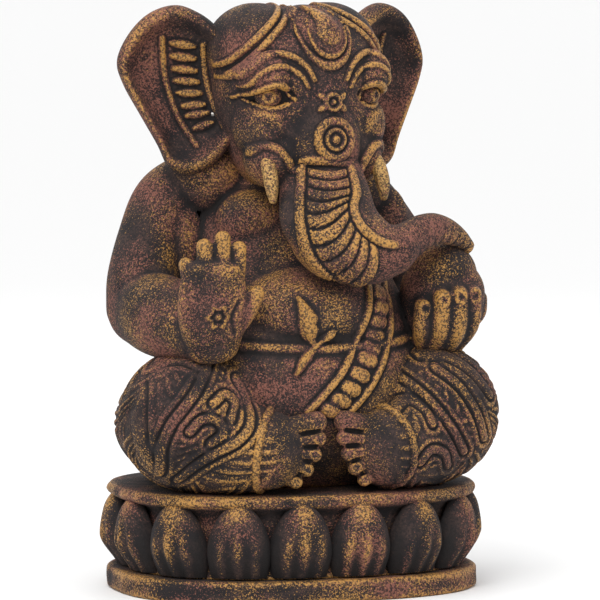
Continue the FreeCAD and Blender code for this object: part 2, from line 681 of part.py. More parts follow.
# ---------------------------------------------------------------- putting the figure together
def figure():
    """Every piece of the figure in the sculpt's frame, each trimmed by the pieces it lies on."""
    p = {}
    ground = Part.makeBox(600, 600, 200, Vector(-300, -300, SCULPT_DECK - 200))
    p["torso"] = stack(TORSO, TORSO_POWER)

    head = turned(head_block())
    tusks = {side: turned(limb([mirrored(s, side) for s in TUSK], Vector(0, 1, 0), (True, True)))
             for side in (1, -1)}
    eyes = {side: turned(globe(mirrored(EYE[0], side), (EYE[1],) * 3)) for side in (1, -1)}
    head = trimmed(head, p["torso"], *tusks.values(), *eyes.values())
    p["head"] = head
    p["head_band"] = group_trimmed([turned(ridge(line, 2.2, side)) for side in (1, -1)
                                    for line in (BAND_LOW, BAND_HIGH)], head)
    for side, name in ((1, "right"), (-1, "left")):
        p[name + "_tusk"] = tusks[side]
        p[name + "_eyeball"] = eyes[side]
        p[name + "_eyelids"] = group_trimmed([turned(ridge(LID_UPPER, 1.8, side)),
                                              turned(ridge(LID_LOWER, 1.3, side))], head, eyes[side])
        p[name + "_brow"] = group_trimmed([turned(ridge(BROW_LOW, 1.9, side)),
                                           turned(ridge(BROW_HIGH, 2.1, side))], head, p["head_band"])
    p["forehead_drop"] = trimmed(turned(forehead_drop()), head)
    p["forehead_crescents"] = group_trimmed([turned(c) for c in forehead_crescents()], head)
    p["brow_rosette"] = trimmed(turned(joined(brow_rosette())), head, p["right_brow"], p["left_brow"])
    p["trunk_disc"] = group_trimmed([turned(c) for c in trunk_disc()], head)

    p["trunk"] = trimmed(trunk_body(), head, p["trunk_disc"], p["torso"], p["right_tusk"], p["left_tusk"])
    p["trunk_ribs"] = group_trimmed(trunk_ribs(), p["trunk"], head)
    p["trunk_border"] = group_trimmed(trunk_border(), p["trunk"], head, p["trunk_disc"])

    p["sweet_ball"] = trimmed(globe(BALL[0], (BALL[1],) * 3), p["trunk"])
    p["right_upper_arm"] = trimmed(limb(RIGHT_UPPER, Vector(0, 1, 0)), p["torso"], head)
    p["left_upper_arm"] = trimmed(limb(LEFT_UPPER, Vector(0, 1, 0)), p["torso"], head)
    p["right_forearm"] = trimmed(limb(RIGHT_FORE), p["right_upper_arm"], p["torso"])
    p["left_forearm"] = trimmed(limb(LEFT_FORE), p["left_upper_arm"], p["torso"])
    p["right_hand"] = trimmed(right_hand(), p["right_forearm"], p["torso"])
    p["left_hand"] = trimmed(left_hand(), p["left_forearm"], p["sweet_ball"], p["torso"], p["trunk"])

    for side, name in ((1, "right"), (-1, "left")):
        arm = [p[name + "_upper_arm"], p[name + "_forearm"], p[name + "_hand"]]
        plate = turned(ear(side))
        p[name + "_ear"] = trimmed(plate, head, p["torso"], arm[0])
        p[name + "_ear_ladder"] = group_trimmed([turned(c) for c in ear_ladder(side)], p[name + "_ear"], head)
        p[name + "_leg"] = trimmed(leg(side), p["torso"], ground, *arm)
        p[name + "_foot"] = trimmed(foot(side), p[name + "_leg"], p["torso"], ground)
        p[name + "_hem"] = trimmed(hem(side), p[name + "_leg"], p[name + "_foot"], p["torso"], ground)
    p["left_foot"] = trimmed(p["left_foot"], p["right_foot"])

    dressed = [p[n] for n in ("torso", "right_leg", "left_leg", "right_hem", "left_hem", "right_foot",
                              "left_foot", "right_upper_arm", "left_upper_arm", "right_forearm",
                              "left_forearm", "right_hand", "left_hand", "head", "trunk")]
    hood, tail = snake_hood(), snake_tail()
    p["sash_cords"] = group_trimmed(sash_cords(), *dressed)
    p["sash_beads"] = group_trimmed(sash_beads(), *dressed, p["sash_cords"])
    p["snake_tail"] = trimmed(tail, *dressed, p["sash_cords"])
    p["snake_hood"] = trimmed(hood, *dressed, p["snake_tail"])
    p["snake_belt"] = group_trimmed(snake_belt(), *dressed, p["sash_cords"], p["sash_beads"], p["snake_tail"],
                                    p["snake_hood"])
    return p


def to_size(shape):
    """A shape of the sculpt's frame at its real size on the real deck."""
    placed = shape.copy()
    if SCALE != 1.0:
        placed = placed.scale(SCALE, Vector(0, 0, SCULPT_DECK))
    placed.translate(Vector(0, 0, DECK - SCULPT_DECK))
    return placed


def sized(x, y, z):
    """A point of the sculpt's frame at the real size."""
    return Vector(x * SCALE, y * SCALE, DECK + (z - SCULPT_DECK) * SCALE)


# ---------------------------------------------------------------- armature
def bars():
    """Every bar inside the statue: node, pieces it joins, two ends and radius."""
    foot_end = Vector(0, 14 * SCALE, SLAB_THICKNESS * 0.45)
    listed = [("spine_rod", ("plinth_slab", "lotus_drum", "torso", "head"), foot_end,
               Vector(0, 14 * SCALE, sized(0, 0, 345).z), ROD_RADIUS)]
    for x in (-70.0, 70.0):
        low, high = Vector(x, 0, SLAB_THICKNESS * 0.45), Vector(x, 0, SLAB_THICKNESS + 14)
        listed.append(("base_dowels", ("plinth_slab", "lotus_drum"), low, high, DOWEL_RADIUS))
    for side, name in ((1, "right"), (-1, "left")):
        for x, y in ((-84, -40), (-66, 24)):
            top = sized(x * side, y, 98)
            listed.append(("leg_dowels", (name + "_leg", "lotus_drum", "torso"), Vector(top.x, top.y, DECK - 14),
                           top, DOWEL_RADIUS))
    joints = [("right_upper_arm", "torso", (-86, 28, 258), (-46, 26, 256)),
              ("left_upper_arm", "torso", (76, 34, 246), (42, 28, 246)),
              ("right_upper_arm", "right_forearm", (-102, 12, 204), (-99, -24, 189)),
              ("left_upper_arm", "left_forearm", (94, 26, 208), (96, -8, 186)),
              ("right_forearm", "right_hand", (-87, -50, 183), (-78, -75, 184)),
              ("left_forearm", "left_hand", (96, -11, 180), (91, -34, 180))]
    for one, two, a, b in joints:
        listed.append(("arm_dowels", (one, two), sized(*a), sized(*b), DOWEL_RADIUS))
    for side, name in ((1, "right"), (-1, "left")):
        for z in (324, 368):
            a, b = Vector(-34 * side, 8, z), ear_point(9, z, -EAR_THICKNESS * 0.72, side)
            ends = [Vector(Rotation(Vector(0, 0, 1), HEAD_TURN).multVec(v)) + HEAD_SEAT for v in (a, b)]
            listed.append(("ear_pins", ("head", name + "_ear"), sized(*ends[0]), sized(*ends[1]), PIN_RADIUS))
    listed.append(("trunk_dowel", ("head", "trunk"), sized(4, -34, 300), sized(6, -68, 262), DOWEL_RADIUS))
    listed.append(("sweet_pin", ("left_hand", "sweet_ball"), sized(93, -44, 180), sized(94, -46, 210), PIN_RADIUS))
    return listed


def bar(start, end, radius, spare=0.0):
    along = unit(end - start)
    return Part.makeCylinder(radius, start.distanceToPoint(end) + 2 * spare, start - along * spare, along)


def fit_bars(pieces):
    """Adds the bars and bores a hole for each one in the pieces that it joins."""
    rods = {}
    for node, joined_nodes, start, end, radius in bars():
        rods.setdefault(node, []).append(bar(start, end, radius))
        hole = bar(start, end, radius + GROUT, END_GROUT)
        for name in joined_nodes:
            pieces[name] = trimmed(pieces[name], hole)
    for node, solids in rods.items():
        pieces[node] = solids[0] if len(solids) == 1 else Part.makeCompound(solids)


def main():
    pieces = {name: to_size(shape) for name, shape in figure().items()}
    pieces["plinth_slab"] = plinth_slab()
    pieces["lotus_drum"] = lotus_drum()
    pieces["lotus_petals"] = lotus_petals(pieces["lotus_drum"])
    fit_bars(pieces)
    os.makedirs("parts", exist_ok=True)
    for name, shape in sorted(pieces.items()):
        shape.exportStep(os.path.join("parts", name + ".step"))
        box = shape.BoundBox
        print(f"{name:20s} solids {len(shape.Solids):3d} valid {shape.isValid()} volume {shape.Volume / 1000:8.1f} cm3"
              f" x {box.XMin:7.1f} {box.XMax:7.1f} y {box.YMin:7.1f} {box.YMax:7.1f} z {box.ZMin:6.1f} {box.ZMax:6.1f}")


main()
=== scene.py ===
"""Looks for the seated elephant-headed deity statue, in cast volcanic stone sponged with gold.

Every form is a surface worked out with numpy in millimetres, in the statue's own frame (+Z up,
-Y the way it looks, origin in the middle of the underside), and is put into a mesh in metres.
Forms that flow into each other are cast together: their closed surfaces are remeshed as one
skin, the skin is relaxed, relief is raised on it by height formulas, and it is then parted into
the statue's pieces.
"""

from __future__ import annotations

import json
import logging
import math
from dataclasses import dataclass, field
from enum import Enum
from typing import Sequence

import bpy
import numpy as np
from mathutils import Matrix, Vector

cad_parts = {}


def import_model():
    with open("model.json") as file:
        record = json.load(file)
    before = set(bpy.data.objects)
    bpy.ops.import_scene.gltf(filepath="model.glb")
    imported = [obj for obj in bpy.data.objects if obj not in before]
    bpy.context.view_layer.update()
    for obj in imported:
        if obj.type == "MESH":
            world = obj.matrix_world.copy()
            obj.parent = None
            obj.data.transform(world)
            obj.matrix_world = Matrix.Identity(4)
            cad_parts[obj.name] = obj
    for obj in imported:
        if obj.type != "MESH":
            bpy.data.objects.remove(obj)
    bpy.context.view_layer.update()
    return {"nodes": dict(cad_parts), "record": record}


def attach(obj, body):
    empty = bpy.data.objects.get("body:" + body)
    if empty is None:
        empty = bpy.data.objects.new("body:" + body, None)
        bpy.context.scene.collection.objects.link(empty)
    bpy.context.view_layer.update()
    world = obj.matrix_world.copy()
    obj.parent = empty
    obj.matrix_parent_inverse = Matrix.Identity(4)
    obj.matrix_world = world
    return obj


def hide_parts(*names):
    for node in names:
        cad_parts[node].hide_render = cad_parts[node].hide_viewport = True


LOG = logging.getLogger("statue")
MM = 0.001
BODY = "root"
FLAT_WEAR = 0.47
FINE_GAIN = 0.62
BROAD_GAIN = 0.085

Array = np.ndarray
Mesh = tuple[Array, list]
Point = tuple[float, float, float]
Rows = tuple[tuple[float, ...], ...]


# ------------------------------------------------------------------ numpy shapes
def unit(vectors: Array) -> Array:
    """Vectors scaled to length one along their last axis."""
    return vectors / np.maximum(np.linalg.norm(vectors, axis=-1, keepdims=True), 1e-9)


def through(rows: Sequence[Sequence[float]], per: int = 8) -> Array:
    """A smooth run through the rows of a table.

    Formula: a Catmull-Rom cubic between each two rows, sampled evenly, with the first and last
    rows repeated in line beyond the ends.

    Args:
        rows: the table, one row per station.
        per: samples per stretch.

    Returns:
        The samples, one row each, ending on the last station.
    """
    table = np.asarray(rows, float)
    ends = np.vstack([2 * table[0] - table[1], table, 2 * table[-1] - table[-2]])
    a, b, c, d = ends[:-3], ends[1:-2], ends[2:-1], ends[3:]
    t = np.linspace(0, 1, per, endpoint=False)[:, None, None]
    square, cube = 2 * a - 5 * b + 4 * c - d, 3 * b - a - 3 * c + d
    run = 0.5 * (2 * b + (c - a) * t + square * t ** 2 + cube * t ** 3)
    return np.vstack([run.transpose(1, 0, 2).reshape(-1, table.shape[1]), table[-1]])


def closed(rings: Array) -> Mesh:
    """A closed surface from a grid of rings, with a fan of triangles over each end.

    Args:
        rings: points as rings, around, xyz.

    Returns:
        Points and faces, facing outwards.
    """
    n, m, _ = rings.shape
    points = np.vstack([rings.reshape(-1, 3), rings[0].mean(0), rings[-1].mean(0)])
    i, j = np.meshgrid(np.arange(n - 1), np.arange(m), indexing="ij")
    k = (j + 1) % m
    quads = np.stack([i * m + j, i * m + k, (i + 1) * m + k, (i + 1) * m + j], -1).reshape(-1, 4)
    around = np.arange(m)
    after = (around + 1) % m
    low = np.stack([np.full(m, n * m), after, around], -1)
    top = np.stack([np.full(m, n * m + 1), (n - 1) * m + around, (n - 1) * m + after], -1)
    corner = points[quads]
    volume = np.einsum("ij,ij->i", corner[:, 0], np.cross(corner[:, 1], corner[:, 2])).sum()
    volume += np.einsum("ij,ij->i", corner[:, 0], np.cross(corner[:, 2], corner[:, 3])).sum()
    faces = quads.tolist() + low.tolist() + top.tolist()
    if volume < 0:
        faces = [f[::-1] for f in faces]
    return points, faces


def superellipse(around: int, power: float) -> tuple[Array, Array]:
    """Cosine and sine round a ring, both raised to 2 / power with their sign kept."""
    angle = np.linspace(0, 2 * math.pi, around, endpoint=False)
    c, s = np.cos(angle), np.sin(angle)
    return np.sign(c) * np.abs(c) ** (2 / power), np.sign(s) * np.abs(s) ** (2 / power)


def limb(stations: Sequence[Sequence[float]], facing: Point = (0, 0, 1), power: float = 2.0,
         ends: tuple[bool, bool] = (True, True), around: int = 40, per: int = 8) -> Mesh:
    """A closed form carried along a path.

    Formula: at each sample of the path, a superellipse across it with the station's half width
    and half height; a round end goes on past the last section as a quarter of an ellipse.

    Args:
        stations: rows of x, y, z, half width, half height.
        facing: the direction that the width lies across.
        power: squareness of the section, 2 for an ellipse.
        ends: whether each end is rounded.
        around: points round a section.
        per: samples per stretch.

    Returns:
        Points and faces.
    """
    run = through(stations, per)
    centre, wide, high = run[:, :3], run[:, 3:4], run[:, 4:5]
    along = unit(np.gradient(centre, axis=0))
    side = unit(np.cross(along, np.asarray(facing, float)))
    rise = unit(np.cross(side, along))
    c, s = superellipse(around, power)

    def rings(at: Array, share: Array, shift: Array) -> Array:
        middle = centre[at] + along[at] * shift[:, None]
        across = side[at][:, None] * (wide[at] * share[:, None])[..., None] * c[None, :, None]
        upward = rise[at][:, None] * (high[at] * share[:, None])[..., None] * s[None, :, None]
        return middle[:, None] + across + upward

    turn = np.linspace(0, math.pi / 2, 8)[1:]
    every = np.arange(len(centre))
    parts = [rings(every, np.ones(len(every)), np.zeros(len(every)))]
    if ends[0]:
        reach = float(min(wide[0, 0], high[0, 0]))
        parts.insert(0, rings(np.zeros(7, int), np.cos(turn)[::-1] + 0.01, -reach * np.sin(turn)[::-1]))
    if ends[1]:
        reach = float(min(wide[-1, 0], high[-1, 0]))
        parts.append(rings(np.full(7, len(centre) - 1), np.cos(turn) + 0.01, reach * np.sin(turn)))
    return closed(np.concatenate(parts))


def spun(matrix: Array, points: Array) -> Array:
    """Points turned by a 3 by 3 matrix."""
    return points @ matrix.T


def turn_about(axis: int, degrees: float) -> Array:
    """The matrix of a turn about X, Y or Z."""
    a = math.radians(degrees)
    c, s = math.cos(a), math.sin(a)
    one, two = [(1, 2), (2, 0), (0, 1)][axis]
    matrix = np.eye(3)
    matrix[one, one] = matrix[two, two] = c
    matrix[one, two], matrix[two, one] = -s, s
    return matrix


def globe(centre: Point, radii: Point, turns: Point = (0, 0, 0)) -> Mesh:
    """A closed ellipsoid: the unit sphere's latitude and longitude grid, scaled, turned and moved."""
    lat = np.linspace(-math.pi / 2, math.pi / 2, 26)[1:-1]
    lon = np.linspace(0, 2 * math.pi, 44, endpoint=False)
    x = np.cos(lat)[:, None] * np.cos(lon)
    y = np.cos(lat)[:, None] * np.sin(lon)
    z = np.sin(lat)[:, None] + 0 * lon
    points = np.stack([x, y, z], -1) * np.asarray(radii, float)
    for axis, degrees in enumerate(turns):
        if degrees:
            points = spun(turn_about(axis, degrees), points)
    return closed(points + np.asarray(centre, float))


def stack(levels: Sequence[Sequence[float]], power: float, around: int = 72, per: int = 8) -> Mesh:
    """A closed form from level sections of z, x, y, half width and half depth."""
    run = through(levels, per)
    c, s = superellipse(around, power)
    z, x, y, a, b = (run[:, k:k + 1] for k in range(5))
    rings = np.stack([x + a * c, y + b * s, z + 0 * c], -1)
    return closed(rings)


def mirrored(rows: Sequence[Sequence[float]], side: int) -> list[tuple[float, ...]]:
    """Rows with x multiplied by the side, 1 for the statue's right and -1 for its left."""
    return [(r[0] * side, *r[1:]) for r in rows]


def to_line(points: Array, line: Array) -> tuple[Array, Array]:
    """Distance of each point to a line of straight steps, and how far along the nearest place is.

    Args:
        points: n points.
        line: the line's corners, two or more.

    Returns:
        Distances, and the place as a count of steps.
    """
    best = np.full(len(points), 1e9)
    place = np.zeros(len(points))
    for k in range(len(line) - 1):
        step = line[k + 1] - line[k]
        t = np.clip((points - line[k]) @ step / max(float(step @ step), 1e-9), 0, 1)
        gap = np.linalg.norm(points - line[k] - t[:, None] * step, axis=1)
        nearer = gap < best
        best = np.where(nearer, gap, best)
        place = np.where(nearer, k + t, place)
    return best, place


def rounded(gap: Array, radius: float | Array) -> Array:
    """A half-round ridge: the square root of one less the squared share of the radius."""
    return np.sqrt(np.clip(1 - (gap / radius) ** 2, 0, 1))


def soft(gap: Array, radius: float | Array) -> Array:
    """A bell: one at no distance, falling smoothly to nothing at the radius."""
    t = np.clip(1 - np.abs(gap) / radius, 0, 1)
    return t * t * (3 - 2 * t)


# ------------------------------------------------------------------ skins
@dataclass
class Skin:
    """A remeshed surface in millimetres, with what is known at each of its points."""

    points: Array
    faces: Array
    pairs: Array = field(init=False)
    count: Array = field(init=False)

    def __post_init__(self) -> None:
        """Finds the edges from the faces."""
        ends = np.concatenate([self.faces[:, [k, (k + 1) % 4]] for k in range(4)])
        ends = np.sort(ends, axis=1)
        code = np.unique(ends[:, 0].astype(np.int64) * len(self.points) + ends[:, 1])
        self.pairs = np.stack([code // len(self.points), code % len(self.points)], -1)
        self.count = np.bincount(self.pairs.ravel(), minlength=len(self.points)).astype(float)

    def relaxed(self, values: Array, times: int, share: float = 0.6) -> Array:
        """Values moved towards the mean of their neighbours, over and over.

        Args:
            values: one row per point.
            times: how often.
            share: how far towards the mean.

        Returns:
            The smoothed values.
        """
        out = values.astype(float).reshape(len(self.points), -1).copy()
        a, b = self.pairs[:, 0], self.pairs[:, 1]
        for _ in range(times):
            for k in range(out.shape[1]):
                near = (np.bincount(a, weights=out[b, k], minlength=len(out))
                        + np.bincount(b, weights=out[a, k], minlength=len(out))) / np.maximum(self.count, 1)
                out[:, k] += share * (near - out[:, k])
        return out.reshape(values.shape)

    def normals(self, points: Array | None = None) -> Array:
        """Outward normals at the points: the sum of the crossed diagonals of the faces around."""
        p = self.points if points is None else points
        q = p[self.faces]
        cross = np.cross(q[:, 2] - q[:, 0], q[:, 3] - q[:, 1])
        out = np.zeros_like(p)
        for axis in range(3):
            share = np.repeat(cross[:, axis], 4)
            out[:, axis] = np.bincount(self.faces.ravel(), weights=share, minlength=len(p))
        return unit(out)

    def wear_and_shade(self, points: Array) -> Array:
        """How far each point stands out of its surroundings, as 0 to 1 with FLAT_WEAR for flat; raised places
        catch the sponged gold and low values paint shade into hollows.

        Formula: the height over the surface smoothed a little, times one gain, plus the height
        over the surface smoothed a lot, times another.
        """
        n = self.normals(points)
        fine = self.relaxed(points, 5)
        broad = self.relaxed(fine, 40)
        near = np.einsum("ij,ij->i", points - fine, n)
        far = np.einsum("ij,ij->i", points - broad, n)
        value = FLAT_WEAR + FINE_GAIN * near + BROAD_GAIN * far
        return np.clip(self.relaxed(value, 1), 0, 1)


def cast(blanks: Sequence[Mesh], voxel: float, relax: int) -> Skin:
    """Closed forms fused into one skin and softened.

    Args:
        blanks: the closed forms, which may run into each other.
        voxel: size of a face, mm.
        relax: how often the skin is smoothed.

    Returns:
        The skin.
    """
    points, faces, start = [], [], 0
    for p, f in blanks:
        points.append(p)
        faces += [[v + start for v in face] for face in f]
        start += len(p)
    mesh = bpy.data.meshes.new("blank")
    mesh.from_pydata((np.vstack(points) * MM).tolist(), [], faces)
    blank = bpy.data.objects.new("blank", mesh)
    bpy.context.scene.collection.objects.link(blank)
    fused = blank.modifiers.new("fuse", "REMESH")
    fused.mode = "VOXEL"
    fused.voxel_size = voxel * MM
    made = blank.evaluated_get(bpy.context.evaluated_depsgraph_get()).to_mesh()
    co = np.zeros(len(made.vertices) * 3)
    made.vertices.foreach_get("co", co)
    corners = np.zeros(len(made.loops), int)
    made.loops.foreach_get("vertex_index", corners)
    quads = corners.reshape(-1, 4)
    blank.to_mesh_clear()
    bpy.data.objects.remove(blank)
    bpy.data.meshes.remove(mesh)
    skin = Skin(co.reshape(-1, 3) / MM, quads)
    skin.points = skin.relaxed(skin.points, relax)
    return skin


@dataclass(frozen=True)
class Piece:
    """What a finished piece is called, stands for and is made of."""

    name: str
    nodes: tuple[str, ...]
    slot: str
    material: bpy.types.Material


def make_piece(piece: Piece, points: Array, faces: Sequence, wear_and_shade: Array | None = None,
               normals: Array | None = None, crease: float = 60.0) -> bpy.types.Object:
    """Puts a finished surface into a Blender object that rides on the statue.

    Args:
        piece: the names and the material.
        points: points in mm.
        faces: faces as point numbers.
        wear_and_shade: the wear value at each point, 0 to 1, which also sets the painted shade in hollows.
        normals: normals to shade with, where the piece continues in another.
        crease: edges sharper than this many degrees stay sharp.

    Returns:
        The object.
    """
    mesh = bpy.data.meshes.new(piece.name)
    mesh.from_pydata((points * MM).tolist(), [], faces if isinstance(faces, list) else faces.tolist())
    mesh.update()
    mesh.polygons.foreach_set("use_smooth", np.ones(len(mesh.polygons), bool))
    if wear_and_shade is not None:
        layer = mesh.attributes.new("wear_and_shade", "FLOAT", "POINT")
        layer.data.foreach_set("value", wear_and_shade.astype(np.float32))
    if normals is None:
        mesh.set_sharp_from_angle(angle=math.radians(crease))
    else:
        mesh.normals_split_custom_set_from_vertices(normals.tolist())
    mesh.materials.append(piece.material)
    made = bpy.data.objects.new(piece.name, mesh)
    bpy.context.scene.collection.objects.link(made)
    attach(made, BODY)
    if piece.nodes:
        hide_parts(*piece.nodes)
    LOG.info("%s: %d faces", piece.name, len(mesh.polygons))
    return made


def part_off(skin: Skin, points: Array, normals: Array, wear_and_shade: Array, keep: Array, piece: Piece) -> None:
    """Makes a piece of the marked faces of a skin and caps the cut.

    Args:
        skin: the whole skin.
        points: its final points.
        normals: its normals, kept so that the cut doesn't show.
        wear_and_shade: its wear and painted shade value.
        keep: which faces belong to the piece.
        piece: the names and the material.
    """
    faces = skin.faces[keep]
    used, inverse = np.unique(faces, return_inverse=True)
    faces = inverse.reshape(-1, 4)
    ends = np.concatenate([faces[:, [k, (k + 1) % 4]] for k in range(4)])
    forward = {(int(a), int(b)) for a, b in ends}
    rim = [(a, b) for a, b in forward if (b, a) not in forward]
    caps = cap_faces(rim)
    make_piece(piece, points[used], faces.tolist() + caps, wear_and_shade[used], normals[used])


def cap_faces(rim: list[tuple[int, int]]) -> list[list[int]]:
    """Closes the loops of open edges.

    Args:
        rim: open edges in the direction of the faces that own them.

    Returns:
        One face per loop, turned the way that closes it.
    """
    after: dict[int, list[int]] = {}
    for a, b in rim:
        after.setdefault(b, []).append(a)
    faces = []
    while after:
        loop = [next(iter(after))]
        while loop[-1] in after:
            step = after[loop[-1]].pop()
            if not after[loop[-1]]:
                del after[loop[-1]]
            if step in loop:
                at = loop.index(step)
                if len(loop) - at > 2:
                    faces.append(loop[at:])
                loop = loop[:at + 1]
            else:
                loop.append(step)
    return faces


def raise_piece(skin: Skin, base: Array, height: Array, normals: Array, wear_and_shade: Array, piece: Piece,
                floor: float = 0.05, sink: float = 0.8) -> None:
    """Makes a piece of applied relief: the skin where it is raised, on a bottom just under it.

    Args:
        skin: the skin that the relief lies on.
        base: the skin's points without the relief.
        height: the relief's height at each point, mm.
        normals: the normals of the raised skin.
        wear_and_shade: the wear and painted shade value of the raised skin.
        piece: the names and the material.
        floor: faces raised less than this are left out.
        sink: depth of the bottom under the skin.
    """
    faces = skin.faces[(height[skin.faces] > floor).any(1)]
    used, inverse = np.unique(faces, return_inverse=True)
    faces = inverse.reshape(-1, 4)
    n = len(used)
    flat = skin.normals(base)[used]
    top = base[used] + flat * np.maximum(height[used], 0)[:, None]
    low = base[used] - flat * sink
    ends = np.concatenate([faces[:, [k, (k + 1) % 4]] for k in range(4)])
    forward = {(int(a), int(b)) for a, b in ends}
    rim = np.array([(a, b) for a, b in forward if (b, a) not in forward])
    walls = np.stack([rim[:, 1], rim[:, 0], rim[:, 0] + n, rim[:, 1] + n], -1)
    every = np.concatenate([faces, faces[:, ::-1] + n, walls])
    make_piece(piece, np.vstack([top, low]), every, np.concatenate([wear_and_shade[used]] * 2),
               np.vstack([normals[used], -flat]))


# ------------------------------------------------------------------ finishes
Socket = bpy.types.NodeSocket


@dataclass
class Graph:
    """A node tree with short ways to add what the finishes use."""

    tree: bpy.types.NodeTree

    def add(self, kind: str, **values: object) -> bpy.types.Node:
        """A node of a kind with its plain properties set."""
        node = self.tree.nodes.new(kind)
        for key, value in values.items():
            setattr(node, key, value)
        return node

    def feed(self, socket: Socket, value: Socket | float | Sequence[float]) -> None:
        """Links a socket, or sets its own value."""
        if isinstance(value, bpy.types.NodeSocket):
            self.tree.links.new(value, socket)
        else:
            socket.default_value = value

    def sum(self, kind: str, *values: Socket | float) -> Socket:
        """A Math node's result."""
        node = self.add("ShaderNodeMath", operation=kind)
        for socket, value in zip(node.inputs, values):
            self.feed(socket, value)
        return node.outputs[0]

    def ramp(self, value: Socket, low: Socket | float, high: Socket | float) -> Socket:
        """A smooth rise from 0 at low to 1 at high."""
        node = self.add("ShaderNodeMapRange", interpolation_type="SMOOTHSTEP")
        self.feed(node.inputs["Value"], value)
        self.feed(node.inputs["From Min"], low)
        self.feed(node.inputs["From Max"], high)
        return node.outputs[0]

    def noise(self, where: Socket, grain_mm: float, detail: float = 2.0, rough: float = 0.6) -> Socket:
        """Noise whose features are about so many mm."""
        node = self.add("ShaderNodeTexNoise")
        self.feed(node.inputs["Vector"], where)
        node.inputs["Scale"].default_value = 1.0 / (grain_mm * MM)
        node.inputs["Detail"].default_value = detail
        node.inputs["Roughness"].default_value = rough
        return node.outputs["Fac"]

    def blend(self, share: Socket | float, low: Socket | Sequence[float],
              high: Socket | Sequence[float]) -> Socket:
        """One colour laid over another by a mask."""
        node = self.add("ShaderNodeMix", data_type="RGBA")
        self.feed(node.inputs["Factor"], share)
        for socket, value in ((node.inputs["A"], low), (node.inputs["B"], high)):
            colour = [s for s in node.inputs if s.name == socket.name and s.type == "RGBA"][0]
            self.feed(colour, value if isinstance(value, bpy.types.NodeSocket) else (*value, 1.0))
        return [s for s in node.outputs if s.type == "RGBA"][0]


def group(name: str, inputs: Sequence[tuple[str, str, float]], outputs: Sequence[tuple[str, str]]
          ) -> tuple[Graph, bpy.types.Node, bpy.types.Node]:
    """A new shader node group with named sockets.

    Args:
        name: its name.
        inputs: name, kind and starting value of each input.
        outputs: name and kind of each output.

    Returns:
        The graph to build in, its input node and its output node.
    """
    tree = bpy.data.node_groups.new(name, "ShaderNodeTree")
    for label, kind, value in inputs:
        socket = tree.interface.new_socket(name=label, in_out="INPUT", socket_type=kind)
        if kind == "NodeSocketFloat":
            socket.default_value = value
    for label, kind in outputs:
        tree.interface.new_socket(name=label, in_out="OUTPUT", socket_type=kind)
    graph = Graph(tree)
    return graph, graph.add("NodeGroupInput"), graph.add("NodeGroupOutput")


def ash_grain() -> bpy.types.NodeTree:
    """The sandy surface: grains of about 0.8 mm over soft lumps, as a height and a tone."""
    graph, into, out = group("Ash grain", [("Where", "NodeSocketVector", 0),
    ("Coarse", "NodeSocketFloat", 0.35)],
                             [("Height", "NodeSocketFloat"), ("Tone", "NodeSocketFloat")])
    where = into.outputs["Where"]
    grains = graph.add("ShaderNodeTexVoronoi", feature="F1")
    graph.feed(grains.inputs["Vector"], where)
    grains.inputs["Scale"].default_value = 1.0 / (1.1 * MM)
    fine = graph.noise(where, 0.9, 3.0, 0.7)
    lumps = graph.noise(where, 4.5, 2.0, 0.5)
    height = graph.sum("SUBTRACT", fine, graph.sum("MULTIPLY", grains.outputs["Distance"], 0.45))
    height = graph.sum("ADD", height, graph.sum("MULTIPLY", lumps, into.outputs["Coarse"]))
    graph.feed(out.inputs["Height"], height)
    graph.feed(out.inputs["Tone"], fine)
    return graph.tree


def sponge_marks() -> bpy.types.NodeTree:
    """Paint caught on high grains: a mask that fills in with wear, cover and drifting patches.

    A speckle of about 1 mm is cut off at a level. The level falls where the surface stands out,
    where a patch of some centimetres is strong and as Cover rises.
    """
    graph, into, out = group(
        "Sponge marks",
        [("Where", "NodeSocketVector", 0), ("Wear and shade", "NodeSocketFloat", 0.5),
        ("Cover", "NodeSocketFloat", 0.5),
         ("Drift", "NodeSocketFloat", 0.3), ("Catch", "NodeSocketFloat", 0.8)],
        [("Mask", "NodeSocketFloat")])
    where = into.outputs["Where"]
    speckle = graph.noise(where, 1.15, 2.0, 0.75)
    patch = graph.sum("SUBTRACT", graph.noise(where, 38.0, 1.5, 0.5), 0.5)
    stand = graph.sum("SUBTRACT", into.outputs["Wear and shade"], 0.5)
    pull = graph.sum("ADD", graph.sum("MULTIPLY", stand, into.outputs["Catch"]),
                     graph.sum("MULTIPLY", patch, into.outputs["Drift"]))
    cover = graph.sum("MULTIPLY", into.outputs["Cover"], 0.4)
    level = graph.sum("SUBTRACT", graph.sum("SUBTRACT", 0.78, cover), pull)
    graph.feed(out.inputs["Mask"], graph.ramp(speckle, graph.sum("SUBTRACT", level, 0.035),
                                              graph.sum("ADD", level, 0.035)))
    return graph.tree


def hollow_painted_shade() -> bpy.types.NodeTree:
    """Painted shade in hollows: a mask that is full where the surface lies deep, for darkening the colour
    where shade falls.
    """
    graph, into, out = group("Hollow painted shade", [("Where", "NodeSocketVector", 0),
    ("Wear and shade", "NodeSocketFloat", 0.5)],
                             [("Mask", "NodeSocketFloat")])
    broken = graph.sum("MULTIPLY", graph.sum("SUBTRACT", graph.noise(into.outputs["Where"], 2.4), 0.5), 0.22)
    graph.feed(out.inputs["Mask"], graph.ramp(graph.sum("ADD", into.outputs["Wear and shade"], broken), 0.44, 0.20))
    return graph.tree


@dataclass
class Effects:
    """The node groups that the finishes share."""

    grain: bpy.types.NodeTree
    sponge: bpy.types.NodeTree
    # The group that paints shade into hollows.
    painted_shade: bpy.types.NodeTree

    @classmethod
    def built(cls) -> Effects:
        """Builds each group once."""
        return cls(ash_grain(), sponge_marks(), hollow_painted_shade())


